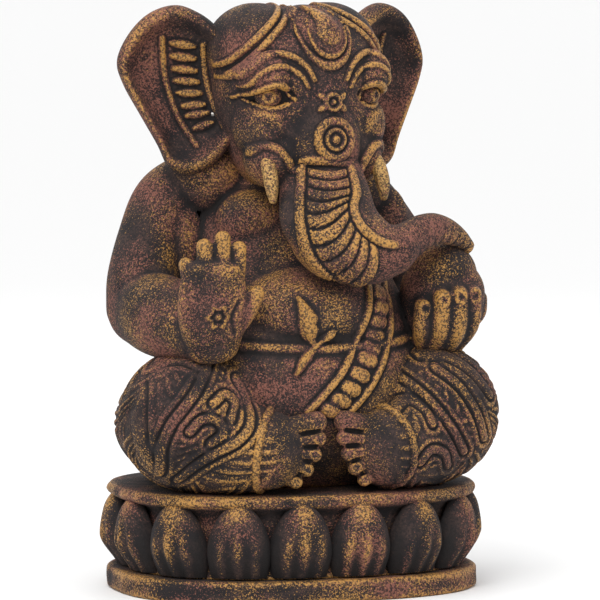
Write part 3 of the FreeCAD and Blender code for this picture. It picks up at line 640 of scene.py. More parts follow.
@dataclass(frozen=True)
class StoneFinish:
    """Dark cast stone with copper and gold sponged over it, and painted shade darkening its hollows."""

    name: str
    dark: Point = (0.013, 0.010, 0.011)
    brown: Point = (0.048, 0.029, 0.025)
    copper: Point = (0.27, 0.105, 0.075)
    gold: Point = (0.50, 0.255, 0.060)
    gold_cover: float = 0.36
    copper_cover: float = 0.55
    gold_catch: float = 0.80
    grain_depth: float = 0.85

    def make(self, effects: Effects) -> bpy.types.Material:
        """Builds the material.

        Args:
            effects: the shared node groups.

        Returns:
            The material.
        """
        made = bpy.data.materials.new(self.name)
        made.use_nodes = True
        graph = Graph(made.node_tree)
        shader = graph.tree.nodes["Principled BSDF"]
        where = graph.add("ShaderNodeTexCoord").outputs["Object"]
        # Wear and painted shade: high values catch gold, low values in hollows are painted dark as shade.
        wear_and_shade = graph.add("ShaderNodeAttribute", attribute_name="wear_and_shade").outputs["Fac"]
        grain = graph.add("ShaderNodeGroup", node_tree=effects.grain)
        graph.feed(grain.inputs["Where"], where)
        shifted = graph.add("ShaderNodeMapping")
        graph.feed(shifted.inputs["Vector"], where)
        shifted.inputs["Location"].default_value = (0.31, 0.17, 0.23)
        masks = []
        for cover, drift, catch, at in ((self.copper_cover, 0.80, 0.45, where),
                                        (self.gold_cover, 0.55, self.gold_catch, shifted.outputs[0])):
            marks = graph.add("ShaderNodeGroup", node_tree=effects.sponge)
            graph.feed(marks.inputs["Where"], at)
            graph.feed(marks.inputs["Wear and shade"], wear_and_shade)
            marks.inputs["Cover"].default_value = cover
            marks.inputs["Drift"].default_value = drift
            marks.inputs["Catch"].default_value = catch
            masks.append(marks.outputs["Mask"])
        # Painted shade: where the wear and shade value is low, in hollows, the colour is darkened as shade.
        painted_shade = graph.add("ShaderNodeGroup", node_tree=effects.painted_shade)
        graph.feed(painted_shade.inputs["Where"], where)
        graph.feed(painted_shade.inputs["Wear and shade"], wear_and_shade)
        stone = graph.blend(graph.ramp(graph.noise(where, 14.0), 0.38, 0.62), self.dark, self.brown)
        sponged = graph.blend(graph.sum("MULTIPLY", masks[0], 0.85), stone, self.copper)
        gilded = graph.blend(graph.sum("MULTIPLY", masks[1], 0.92), sponged, self.gold)
        pits = graph.ramp(graph.noise(where, 1.7, 2.0, 0.7), 0.53, 0.42)
        pitted = graph.blend(graph.sum("MULTIPLY", pits, 0.80), gilded, self.dark)
        # This near black is painted shade laid over the hollows.
        colour = graph.blend(graph.sum("MULTIPLY", painted_shade.outputs["Mask"], 0.85), pitted, (0.010, 0.008, 0.008))
        graph.feed(shader.inputs["Base Color"], colour)
        rough = graph.add("ShaderNodeMapRange")
        graph.feed(rough.inputs["Value"], masks[1])
        rough.inputs["To Min"].default_value = 0.86
        rough.inputs["To Max"].default_value = 0.52
        graph.feed(shader.inputs["Roughness"], rough.outputs[0])
        shader.inputs["Specular IOR Level"].default_value = 0.35
        bump = graph.add("ShaderNodeBump")
        bump.inputs["Strength"].default_value = self.grain_depth
        bump.inputs["Distance"].default_value = 0.5 * MM
        graph.feed(bump.inputs["Height"], grain.outputs["Height"])
        graph.feed(shader.inputs["Normal"], bump.outputs["Normal"])
        return made


@dataclass(frozen=True)
class SteelFinish:
    """Drawn bar: grey with fine scatter in its sheen."""

    name: str = "armature_steel"
    colour: Point = (0.20, 0.19, 0.18)

    def make(self) -> bpy.types.Material:
        """Builds the material."""
        made = bpy.data.materials.new(self.name)
        made.use_nodes = True
        graph = Graph(made.node_tree)
        shader = graph.tree.nodes["Principled BSDF"]
        where = graph.add("ShaderNodeTexCoord").outputs["Object"]
        mottle = graph.noise(where, 3.0)
        graph.feed(shader.inputs["Base Color"], graph.blend(mottle, self.colour, (0.30, 0.28, 0.26)))
        graph.feed(shader.inputs["Roughness"], graph.ramp(mottle, 0.0, 1.6))
        shader.inputs["Metallic"].default_value = 1.0
        return made


class Slot(Enum):
    """The record's material slots."""

    FIGURE = "figure_stone"
    TROUSER = "trouser_stone"
    PLINTH = "plinth_stone"
    ORNAMENT = "ornament_stone"
    GILT = "gilt_stone"
    STEEL = "armature_steel"


@dataclass
class Palette:
    """One material for each slot."""

    made: dict[Slot, bpy.types.Material]

    @classmethod
    def mixed(cls) -> Palette:
        """Builds every material."""
        effects = Effects.built()
        stones = {
            Slot.FIGURE: StoneFinish("figure_stone"),
            Slot.TROUSER: StoneFinish("trouser_stone", gold_cover=0.36, copper_cover=0.36, gold_catch=0.60),
            Slot.PLINTH: StoneFinish("plinth_stone", gold_cover=0.36, copper_cover=0.44, gold_catch=0.62),
            Slot.ORNAMENT: StoneFinish("ornament_stone", gold_cover=0.46),
            Slot.GILT: StoneFinish("gilt_stone", gold_cover=0.72, gold=(0.56, 0.33, 0.10), gold_catch=0.5),
        }
        made = {slot: finish.make(effects) for slot, finish in stones.items()}
        made[Slot.STEEL] = SteelFinish().make()
        return cls(made)

    def piece(self, name: str, slot: Slot, *nodes: str) -> Piece:
        """A piece that takes a slot's material and stands for the nodes, or for its own name."""
        return Piece(name, nodes or (name,), slot.value, self.made[slot])


# ------------------------------------------------------------------ setting
@dataclass
class Setting:
    """The floor, the lamps and the camera."""

    azimuth: float = -17.0
    elevation: float = 4.5
    distance: float = 3.6
    lens: float = 315.0
    aim: Point = (0.0057, -0.0017, 0.196)
    sun: float = 1.75

    def build(self) -> None:
        """Makes all of them."""
        scene = bpy.context.scene
        scene.view_settings.view_transform = "Standard"
        self.floor()
        self.world(scene)
        self.lamp("key", (-0.9, -1.5, 1.6), 0.8, 13.0)
        self.lamp("fill", (1.6, -1.2, 0.9), 1.2, 4.0)
        self.lamp("back", (0.5, 1.4, 1.5), 1.0, 6.0)
        self.sky_light()
        self.camera(scene)

    def floor(self) -> None:
        """A pale floor that keeps the shadow."""
        mesh = bpy.data.meshes.new("floor")
        reach = 60.0
        mesh.from_pydata([(-reach, -reach, 0), (reach, -reach, 0), (reach, reach, 0), (-reach, reach, 0)], [],
                         [(0, 1, 2, 3)])
        floor = bpy.data.objects.new("floor", mesh)
        bpy.context.scene.collection.objects.link(floor)
        pale = bpy.data.materials.new("floor")
        pale.use_nodes = True
        shader = pale.node_tree.nodes["Principled BSDF"]
        shader.inputs["Base Color"].default_value = (0.90, 0.90, 0.90, 1)
        shader.inputs["Roughness"].default_value = 0.9
        mesh.materials.append(pale)

    def world(self, scene: bpy.types.Scene) -> None:
        """Soft light all round, and white where the camera looks past the floor."""
        world = bpy.data.worlds.new("studio")
        world.use_nodes = True
        scene.world = world
        graph = Graph(world.node_tree)
        background = graph.tree.nodes["Background"]
        path = graph.add("ShaderNodeLightPath")
        seen = graph.sum("MAXIMUM", path.outputs["Is Camera Ray"], path.outputs["Is Glossy Ray"])
        strength = graph.sum("ADD", graph.sum("MULTIPLY", seen, 0.45), 0.55)
        background.inputs["Color"].default_value = (1, 1, 1, 1)
        graph.feed(background.inputs["Strength"], strength)

    def lamp(self, name: str, place: Point, size: float, watts: float) -> None:
        """A square soft lamp that points at the statue."""
        light = bpy.data.lights.new(name, "AREA")
        light.size = size
        light.energy = watts
        made = bpy.data.objects.new(name, light)
        bpy.context.scene.collection.objects.link(made)
        self.place(made, place)

    def sky_light(self) -> None:
        """A wide, weak sun from the front left, which lifts the floor to white."""
        light = bpy.data.lights.new("sky", "SUN")
        light.energy = self.sun
        light.angle = math.radians(60)
        made = bpy.data.objects.new("sky", light)
        bpy.context.scene.collection.objects.link(made)
        self.place(made, (-0.7, -0.9, 2.6))

    def place(self, made: bpy.types.Object, place: Point) -> None:
        """Moves an object and turns it to look at the aim."""
        made.location = place
        made.rotation_euler = (Vector(self.aim) - Vector(place)).to_track_quat("-Z", "Y").to_euler()

    def camera(self, scene: bpy.types.Scene) -> None:
        """A long lens at the viewing angle."""
        a, e = math.radians(self.azimuth), math.radians(self.elevation)
        out = np.array([math.sin(a) * math.cos(e), -math.cos(a) * math.cos(e), math.sin(e)]) * self.distance
        data = bpy.data.cameras.new("camera")
        data.lens = self.lens
        data.clip_end = 50
        camera = bpy.data.objects.new("camera", data)
        scene.collection.objects.link(camera)
        self.place(camera, tuple(np.array(self.aim) + out))
        scene.camera = camera


# ------------------------------------------------------------------ relief helpers
@dataclass
class Relief:
    """Applied relief on a skin: a height for each ornament, and the piece it becomes."""

    skin: Skin
    base: Array
    heights: dict[str, Array] = field(default_factory=dict)

    def add(self, name: str, height: Array) -> None:
        """Raises an ornament, over what it already has."""
        old = self.heights.get(name)
        self.heights[name] = height if old is None else np.maximum(old, height)

    def finish(self, palette: Palette, slots: dict[str, Slot]) -> tuple[Array, Array, Array]:
        """Makes a piece of each ornament.

        Args:
            palette: the materials.
            slots: the slot of each ornament that isn't plain ornament stone.

        Returns:
            The base's normals, the wear and painted shade value of the whole and the relief's total height.
        """
        flat = self.skin.normals(self.base)
        total = np.zeros(len(self.base))
        for height in self.heights.values():
            total = np.maximum(total, height)
        full = self.base + flat * total[:, None]
        wear_and_shade = self.skin.wear_and_shade(full)
        normals = self.skin.normals(full)
        for name, height in self.heights.items():
            piece = palette.piece(name, slots.get(name, Slot.ORNAMENT))
            raise_piece(self.skin, self.base, height, normals, wear_and_shade, piece)
        return flat, wear_and_shade, total


def drawn(points: Array, front: Array, line: Sequence[Sequence[float]], radius: float, height: float,
          taper: float = 0.0) -> Array:
    """A ridge drawn on the front of a form, as a half-round over a line of x and z.

    Args:
        points: the form's points.
        front: 1 where the form faces the drawing and 0 elsewhere.
        line: the line's x and z.
        radius: half the ridge's width, mm.
        height: its height, mm.
        taper: how much of the width is lost towards each end.

    Returns:
        The height at each point.
    """
    run = through(line, 6)
    gap, place = to_line(points[:, [0, 2]], run)
    along = place / (len(run) - 1)
    wide = radius * (1 - taper * (2 * along - 1) ** 2)
    return height * rounded(gap, wide) * front


def smooth_step(values: Array, low: float, high: float) -> Array:
    """A smooth rise from 0 at low to 1 at high."""
    t = np.clip((values - low) / (high - low), 0, 1)
    return t * t * (3 - 2 * t)


# ------------------------------------------------------------------ head and trunk
@dataclass
class HeadFrame:
    """Where the head sits and how far it is turned to the statue's left."""

    turn: float = 10.0
    seat: Point = (0.0, -9.0, 0.0)

    def place(self, mesh: Mesh) -> Mesh:
        """A form from the head's own frame, in the statue's."""
        return spun(turn_about(2, self.turn), mesh[0]) + np.asarray(self.seat), mesh[1]

    def back(self, points: Array) -> Array:
        """Points of the statue's frame, in the head's own."""
        return spun(turn_about(2, -self.turn), points - np.asarray(self.seat))


@dataclass
class Trunk:
    """The trunk's path: inner edge, outer edge, depth in y and half depth, from face to tip."""

    rows: Rows = (
        (31, 300, -20, 300, -40, 20), (34, 288, -21, 287, -50, 23), (36, 275, -26, 272, -61, 24),
        (37, 263, -29, 255, -71, 23), (40, 257, -24, 239, -78, 22), (44, 252.5, -9, 222.5, -82, 21),
        (48, 252, 13, 212, -84, 20), (52, 253, 34.5, 211, -84, 18.5), (58, 255.5, 52, 218, -82, 16.5),
        (67, 258, 65.5, 229.5, -77, 14), (80, 258.5, 80, 236.5, -70, 11.5), (94, 254, 92, 236, -62, 9.5),
        (106, 246, 102, 233, -55, 8), (115, 236, 110, 227, -50, 6))
    ribs: int = 10
    first_rib: float = 1.75
    rib_step: float = 0.445
    panel: float = 0.58

    def sections(self) -> tuple[Array, Array, Array]:
        """Middle, half-width vector and half depth of the smoothed sections."""
        run = through(self.rows, 8)
        middle = np.stack([(run[:, 0] + run[:, 2]) / 2, run[:, 4], (run[:, 1] + run[:, 3]) / 2], -1)
        side = np.stack([(run[:, 0] - run[:, 2]) / 2, 0 * run[:, 0], (run[:, 1] - run[:, 3]) / 2], -1)
        return middle, side, run[:, 5]

    def form(self) -> Mesh:
        """The trunk's closed form: an ellipse across the path at each sample."""
        middle, side, deep = self.sections()
        c, s = superellipse(48, 2.0)
        rings = middle[:, None] + side[:, None] * c[None, :, None]
        rings[..., 1] += deep[:, None] * s[None]
        return closed(rings)

    def coordinates(self, points: Array) -> tuple[Array, Array, Array]:
        """Where points are on the trunk.

        Returns:
            The station, the place across from -1 at the outer edge to 1 at the inner, and the
            distance from the middle line against the section's size.
        """
        middle, side, deep = self.sections()
        _, place = to_line(points, middle)
        low = np.clip(place.astype(int), 0, len(middle) - 2)
        t = (place - low)[:, None]
        centre = middle[low] * (1 - t) + middle[low + 1] * t
        across = side[low] * (1 - t) + side[low + 1] * t
        depth = deep[low] * (1 - t[:, 0]) + deep[low + 1] * t[:, 0]
        away = points - centre
        u = np.einsum("ij,ij->i", away, across) / np.einsum("ij,ij->i", across, across)
        v = away[:, 1] / depth
        return place / 8, u, np.sqrt(u ** 2 + v ** 2) * np.where(v > 0, 1.001, 1)


@dataclass
class HeadAndTrunk:
    """Skull with hair domes, brows, eyes and marks, and the trunk that flows out of it."""

    frame: HeadFrame = field(default_factory=HeadFrame)
    trunk: Trunk = field(default_factory=Trunk)
    voxel: float = 0.95
    skull: Rows = (
        (274, 0, 16, 26, 26), (284, 0, 6, 36, 38), (294, 0, 0, 43, 46), (306, 0, -2, 48, 51),
        (320, 0, -1, 53, 52), (336, 0, 0, 56.5, 53), (352, 0, 0, 57, 53), (368, 0, 1, 54, 51),
        (380, 0, 3, 46, 44), (389, 0, 5, 34, 33), (394, 0, 6, 20, 20), (396, 0, 6, 8, 8))
    eye: Point = (-37.0, -33.0, 338.0)
    eyeball: float = 9.3
    disc: tuple[float, float] = (0.0, 309.0)
    rosette: tuple[float, float] = (0.0, 334.0)
    crescent: tuple[float, float] = (0.0, 381.0)
    brow_low: Rows = ((-53, 345), (-47, 354), (-38, 358), (-28, 357), (-20, 351), (-16, 344))
    brow_high: Rows = ((-55, 352), (-48, 361), (-37, 366.5), (-26, 365), (-17, 358), (-12, 349))
    lid_upper: Rows = ((-54, 337), (-47, 343), (-38, 346.5), (-30, 344), (-24, 336))
    lid_lower: Rows = ((-51, 336), (-44, 331.5), (-36, 329.8), (-28, 333))
    band_low: Rows = ((-56, 350), (-47, 364), (-35, 377.5), (-21, 389), (-11, 397))
    band_high: Rows = ((-58, 358), (-50, 370), (-38, 382.5), (-25, 392.5), (-15, 399))
    lip: Rows = ((-51, 300), (-45, 305), (-36, 303), (-30, 296), (-26, 289))
    cheek: Rows = ((-44, 320), (-37, 312), (-30, 300))
    tusk_rows: Rows = (
        (-39, -30, 300, 4.4, 4.4), (-41, -40, 293, 5.0, 5.0), (-42, -46, 284, 5.2, 5.2),
        (-42.3, -49, 275, 4.3, 4.3), (-42, -50, 269, 2.9, 2.9))

    def build(self, palette: Palette) -> None:
        """Makes the head, the trunk and every ornament on them."""
        skin = cast(self.blanks(), self.voxel, 4)
        base = self.modelled(skin)
        relief = Relief(skin, base)
        self.marks(relief)
        self.trunk_marks(relief)
        flat, wear_and_shade, _ = relief.finish(palette, {})
        station, _, away = self.trunk.coordinates(skin.points)
        middle = skin.faces
        on_trunk = (away[middle].mean(1) < 1.16) & (station[middle].mean(1) > 0.95) & \
            (skin.points[middle][:, :, 1].mean(1) < -14)
        part_off(skin, base, flat, wear_and_shade, ~on_trunk, palette.piece("head", Slot.FIGURE))
        part_off(skin, base, flat, wear_and_shade, on_trunk, palette.piece("trunk", Slot.FIGURE))
        for side, name in ((1, "right"), (-1, "left")):
            self.tusk(side, name, palette)
            self.eye_ball(side, name, palette)

    def blanks(self) -> list[Mesh]:
        """Skull, hair domes, forehead, cheeks, root of the trunk and trunk."""
        forms = [stack(self.skull, 2.1), globe((0, -14, 372), (26, 41, 27)), globe((0, -40, 306),
        (27, 21, 32)),
                 globe((0, -30, 330), (24, 27, 34))]
        for side in (1, -1):
            forms += [globe((-27 * side, 6, 367), (32, 45, 33)), globe((-30 * side, -26, 297), (20, 22, 22)),
                      globe((-36 * side, -24, 350), (19, 26, 20)), globe((-34 * side, -20, 318),
                      (21, 26, 24))]
        return [self.frame.place(f) for f in forms] + [self.trunk.form()]

    def modelled(self, skin: Skin) -> Array:
        """The skin with its soft modelling: eye sockets, lip folds and the groove of the bands."""
        head = self.frame.back(skin.points)
        n = skin.normals()
        front = smooth_step(-head[:, 1], -6, 8)
        depth = np.zeros(len(head))
        for side in (1, -1):
            p = head * [side, 1, 1]
            x, z = p[:, 0] - self.eye[0], p[:, 2] - self.eye[2]
            tilt = z - 0.04 * x
            lens = 1 - (x / 14.5) ** 2 - (tilt / 6.6) ** 2
            around = 1 - (x / 20) ** 2 - (z / 13) ** 2
            depth -= front * (2.2 * np.clip(around, 0, 1) + 3.2 * smooth_step(lens, 0.0, 0.5))
            corner, _ = to_line(p[:, [0, 2]], through(self.lip, 5))
            depth += front * 2.6 * rounded(corner, 3.2) * smooth_step(-head[:, 1], 22, 30)
            cheek, _ = to_line(p[:, [0, 2]], through(self.cheek, 5))
            depth -= front * 1.4 * soft(cheek, 7)
            groove, _ = to_line(p[:, [0, 2]], through([((a[0] + b[0]) / 2, (a[1] + b[1]) / 2)
                                                      for a, b in zip(self.band_low, self.band_high)], 6))
            depth -= front * 1.0 * soft(groove, 3.0)
        station, u, away = self.trunk.coordinates(skin.points)
        on_front = (away < 1.3) & (skin.points[:, 1] < -40)
        inside = smooth_step(self.panel_edge(station, u), 0.0, 0.12) * smooth_step(station, 1.35, 1.5) * \
            smooth_step(-station, -7.6, -7.0) * on_front
        depth -= 1.6 * inside
        fold = 0.5 + 0.5 * np.cos(2 * math.pi * station * 1.7)
        depth -= 0.7 * fold ** 3 * on_front * smooth_step(station, 7.6, 8.2) * smooth_step(-u, -0.9, 0.6)
        return skin.points + n * depth[:, None]

    def panel_edge(self, station: Array, u: Array) -> Array:
        """How far inside the ribbed panel a place is; the panel keeps to the outer side of the bend."""
        return self.trunk.panel - np.abs(self.across_panel(station, u))

    def across_panel(self, station: Array, u: Array) -> Array:
        """The place across the trunk, counted from the middle of the ribbed panel."""
        return u + 0.03 + 0.24 * smooth_step(station, 2.2, 4.6)

    def marks(self, relief: Relief) -> None:
        """Brows, lids, hair bands, drop, crescents, rosette and disc, drawn on the front of the head."""
        head = self.frame.back(relief.base)
        front = smooth_step(-head[:, 1], 2, 10)
        high = smooth_step(-head[:, 1], -14, -4)
        for side, name in ((1, "right"), (-1, "left")):
            p = head * [side, 1, 1]
            half = front * (p[:, 0] < 2)
            relief.add(name + "_brow", drawn(p, half, self.brow_low, 2.0, 2.0, 0.35))
            relief.add(name + "_brow", drawn(p, half, self.brow_high, 2.4, 2.5, 0.30))
            relief.add(name + "_eyelids", drawn(p, half, self.lid_upper, 1.9, 2.4, 0.35))
            relief.add(name + "_eyelids", drawn(p, half, self.lid_lower, 1.3, 1.3, 0.4))
            relief.add("head_band", drawn(p, high * (p[:, 0] < 0), self.band_low, 1.9, 2.0, 0.2))
            relief.add("head_band", drawn(p, high * (p[:, 0] < 0), self.band_high, 2.1, 2.1, 0.2))
            for rise in (-1, 1):
                leaf = [(-5.5, 334 + 2.0 * rise), (-7.5, 334 + 3.6 * rise), (-9.0, 334 + 5.0 * rise)]
                relief.add("brow_rosette", drawn(p, half, leaf, 2.6, 1.9, 0.3))
        flat = head[:, [0, 2]]
        ring = np.hypot(*(flat - [self.rosette[0], self.rosette[1]]).T)
        relief.add("brow_rosette", front * 2.0 * rounded(ring - 5.0, 1.8))
        relief.add("brow_rosette", front * 2.0 * rounded(ring, 2.2))
        near = front * smooth_step(-head[:, 1], 40, 44)
        ring = np.hypot(*(flat - [self.disc[0], self.disc[1]]).T)
        relief.add("trunk_disc", near * 2.6 * rounded(ring - 12.3, 3.0))
        relief.add("trunk_disc", near * 1.7 * rounded(ring - 6.6, 1.5))
        relief.add("trunk_disc", near * 2.0 * rounded(ring, 3.2))
        drop = through([(0, 381), (-1, 387), (-4, 392), (-8, 396)], 6)
        gap, place = to_line(flat, drop)
        wide = 9.2 * (1 - 0.9 * (place / (len(drop) - 1)) ** 1.3)
        relief.add("forehead_drop", high * 3.0 * np.clip(1 - (gap / wide) ** 2, 0, 1) ** 0.6 * (gap < wide))
        self.crescents(relief, flat, high)

    def crescents(self, relief: Relief, flat: Array, high: Array) -> None:
        """Two nested arcs under the drop, thick below and thin at their horns."""
        x, z = flat[:, 0] - self.crescent[0], (flat[:, 1] - self.crescent[1]) / 1.22
        ring, angle = np.hypot(x, z), np.degrees(np.arctan2(z, x))
        horn = np.clip(1 - np.abs((angle + 90 + 180) % 360 - 180) / 100, 0, 1) ** 0.6
        for radius, wide, height in ((13.2, 1.7, 1.6), (18.4, 3.2, 2.6)):
            arc = rounded(ring - radius, np.maximum(wide * horn, 0.05))
            relief.add("forehead_crescents", high * height * arc)

    def trunk_marks(self, relief: Relief) -> None:
        """The framed ribs down the front of the trunk: each rib sags in the middle."""
        station, u, away = self.trunk.coordinates(relief.base)
        on_front = ((away < 1.35) & (relief.base[:, 1] < -42)).astype(float)
        edge = self.panel_edge(station, u)
        bend = 0.42 * (self.across_panel(station, u) / self.trunk.panel) ** 2
        for k in range(self.trunk.ribs):
            at = self.trunk.first_rib + self.trunk.rib_step * k
            bow = station - at + bend - 0.14
            height = 2.5 * rounded(bow, 0.185 + 0.004 * k) * smooth_step(edge, 0.10, 0.20)
            relief.add("trunk_ribs", height * on_front)
        span = smooth_step(station, 1.30, 1.36) * smooth_step(-station, -7.3, -6.6)
        relief.add("trunk_border", on_front * 2.2 * rounded(edge, 0.105) * span)
        top = station - 1.34 + 0.3 * bend
        relief.add("trunk_border", on_front * 2.2 * rounded(top, 0.13) * (edge > -0.08))

    def tusk(self, side: int, name: str, palette: Palette) -> None:
        """A short round tusk that comes out under the lip's fold."""
        skin = cast([self.frame.place(limb(mirrored(self.tusk_rows, side), (0, 1, 0)))], 0.7, 3)
        worn_and_shaded = np.clip(skin.wear_and_shade(skin.points) + 0.08, 0, 1)
        make_piece(palette.piece(name + "_tusk", Slot.GILT), skin.points, skin.faces, worn_and_shaded)

    def eye_ball(self, side: int, name: str, palette: Palette) -> None:
        """An eyeball with a raised iris ring and a sunk pupil about its line of sight."""
        x, y, z = self.eye
        points, faces = globe((x * side, y, z), (self.eyeball,) * 3)
        centre = np.array([x * side, y, z])
        sight = unit(np.array([-0.42 * side, -0.90, -0.04]))
        out = unit(points - centre)
        angle = np.degrees(np.arccos(np.clip(out @ sight, -1, 1)))
        height = 0.7 * rounded(angle - 22, 7) - 0.8 * soft(angle, 11)
        points = points + out * height[:, None]
        # The sunk pupil gets a low value: no gold is caught there and it is painted near black as shade; the
        # raised iris ring catches gold.
        wear_and_shade = np.clip(0.48 + 0.35 * height, 0, 1)
        placed, _ = self.frame.place((points, faces))
        make_piece(palette.piece(name + "_eyeball", Slot.FIGURE), placed, faces, wear_and_shade)


# ------------------------------------------------------------------ ears
@dataclass
class Ear:
    """An ear: a thick rim round a deep bowl, with a ladder of beads in the bowl."""

    side: int
    name: str
    frame: HeadFrame = field(default_factory=HeadFrame)
    hinge: Point = (-50.0, 4.0, 0.0)
    sweep: float = 22.0
    centre: tuple[float, float] = (31.0, 342.0)
    outline: Rows = (
        (-6, 372), (6, 384), (18, 393), (34, 398.5), (52, 393), (66, 379), (74, 361), (70, 345),
        (59, 325), (47, 304),
        (39, 288), (27, 283), (13, 287), (1, 298), (-7, 312), (-8, 342))
    profile: Rows = (
        (-22, 0.40), (-21.6, 0.70), (-20, 0.88), (-16.5, 0.96), (-11, 1.0), (-5.5, 0.99), (-1.6, 0.955),
        (0, 0.90),
        (-1.2, 0.85), (-5, 0.80), (-10, 0.74), (-13.5, 0.64), (-15.8, 0.50), (-17, 0.32), (-17.4, 0.14))
    ladder_outer: Rows = ((43, 376), (42, 358), (39, 341), (32, 322), (20, 303))
    ladder_inner: Rows = ((15, 372), (14, 355), (11, 340), (6, 326), (0, 314))
    rungs: int = 8

    def axes(self) -> tuple[Array, Array]:
        """Unit vectors along the ear and out of its face, for the right ear."""
        a = math.radians(self.sweep)
        return np.array([-math.cos(a), math.sin(a), 0]), np.array([-math.sin(a), -math.cos(a), 0])

    def form(self) -> Mesh:
        """The closed form: the outline drawn in towards the centre as the profile goes round the rim."""
        loop = self.smooth_loop()
        along, face = self.axes()
        rings = []
        for out, share in through(self.profile, 4):
            s = self.centre[0] + (loop[:, 0] - self.centre[0]) * share
            z = self.centre[1] + (loop[:, 1] - self.centre[1]) * share
            p = np.asarray(self.hinge) + s[:, None] * along + out * face
            p[:, 2] += z
            rings.append(p * [self.side, 1, 1])
        return self.frame.place(closed(np.array(rings)))

    def smooth_loop(self) -> Array:
        """The outline as a smooth closed loop."""
        loop = list(self.outline)
        run = through(loop[-2:] + loop + loop[:2], 8)
        return run[16:-16]

    def build(self, palette: Palette) -> None:
        """Makes the ear and its ladder."""
        skin = cast([self.form()], 0.95, 3)
        p = self.frame.back(skin.points) * [self.side, 1, 1] - np.asarray(self.hinge)
        along, face = self.axes()
        s, z, out = p @ along, p[:, 2] + self.hinge[2], p @ face
        n = skin.normals()
        facing = spun(turn_about(2, self.frame.turn), (face * [self.side, 1, 1])[None])[0]
        front = smooth_step(n @ facing, 0.15, 0.5) * smooth_step(-out, 3.5, 6.5)
        relief = Relief(skin, skin.points)
        flat = np.stack([s, z], -1)
        outer, inner = through(self.ladder_outer, 8), through(self.ladder_inner, 8)
        for line in (outer, inner):
            gap, _ = to_line(flat, line)
            relief.add(self.name + "_ear_ladder", front * 2.3 * rounded(gap, 2.3))
        for k in range(self.rungs):
            at = (len(outer) - 1) * (0.06 + 0.84 * k / (self.rungs - 1))
            i = int(at)
            a, b = outer[i], inner[i]
            step = b - a
            rung = np.stack([a + step * 0.22, a + step * 0.78])
            gap, place = to_line(flat, rung)
            wide = 3.4 * (1 - 0.45 * (2 * place - 1) ** 2)
            relief.add(self.name + "_ear_ladder", front * 3.2 * rounded(gap, wide))
        normals, wear_and_shade, _ = relief.finish(palette, {})
        make_piece(palette.piece(self.name + "_ear", Slot.FIGURE), skin.points, skin.faces, wear_and_shade, normals)


# ------------------------------------------------------------------ trunk of the body and arms
def nearness(points: Array, rows: Sequence[Sequence[float]]) -> Array:
    """Distance of points to a limb's path, as a share of the limb's radius there."""
    run = through(rows, 6)
    gap, place = to_line(points, run[:, :3])
    return gap / np.interp(place, np.arange(len(run)), (run[:, 3] + run[:, 4]) / 2)


def digit(path: Sequence[Point], radius: float) -> list[tuple[float, ...]]:
    """Limb rows of a finger or toe: full at the root, a little slimmer at the tip."""
    shares = np.linspace(1.0, 0.90, len(path))
    return [(*p, radius * share, radius * share) for p, share in zip(path, shares)]


@dataclass
class Hand:
    """Palm and digits of one hand."""

    palm: Rows
    fingers: tuple[tuple[tuple[Point, ...], float], ...]
    thumb: Rows
    finger_facing: Point
    nail_rise: float = -1.0

    def rows(self) -> list[list[tuple[float, ...]]]:
        """The path rows of palm, fingers and thumb."""
        return [list(self.palm)] + [digit(path, radius) for path, radius in self.fingers] + [list(self.thumb)]

    def forms(self) -> list[Mesh]:
        """The closed forms of the hand."""
        every = self.rows()
        digits = [limb(rows, self.finger_facing, 2.2, around=24) for rows in every[1:-1]]
        return [limb(every[0], (0, 1, 0), 2.4)] + digits + [limb(every[-1], (0, 1, 0), around=24)]

    def nails(self, points: Array, front: Array) -> Array:
        """Relief of the nails: a rounded dish with a rim just under each finger's tip."""
        depth = np.zeros(len(points))
        for path, radius in self.fingers:
            tip = np.asarray(path[-1]) + [0, 0, self.nail_rise]
            gap = np.hypot((points[:, 0] - tip[0]) / 0.8, points[:, 2] - tip[2])
            close = np.linalg.norm(points - path[-1], axis=1) < 3 * radius
            depth += close * front * (0.8 * rounded(gap - 4.2, 1.4) - 0.7 * soft(gap, 3.4))
        return depth


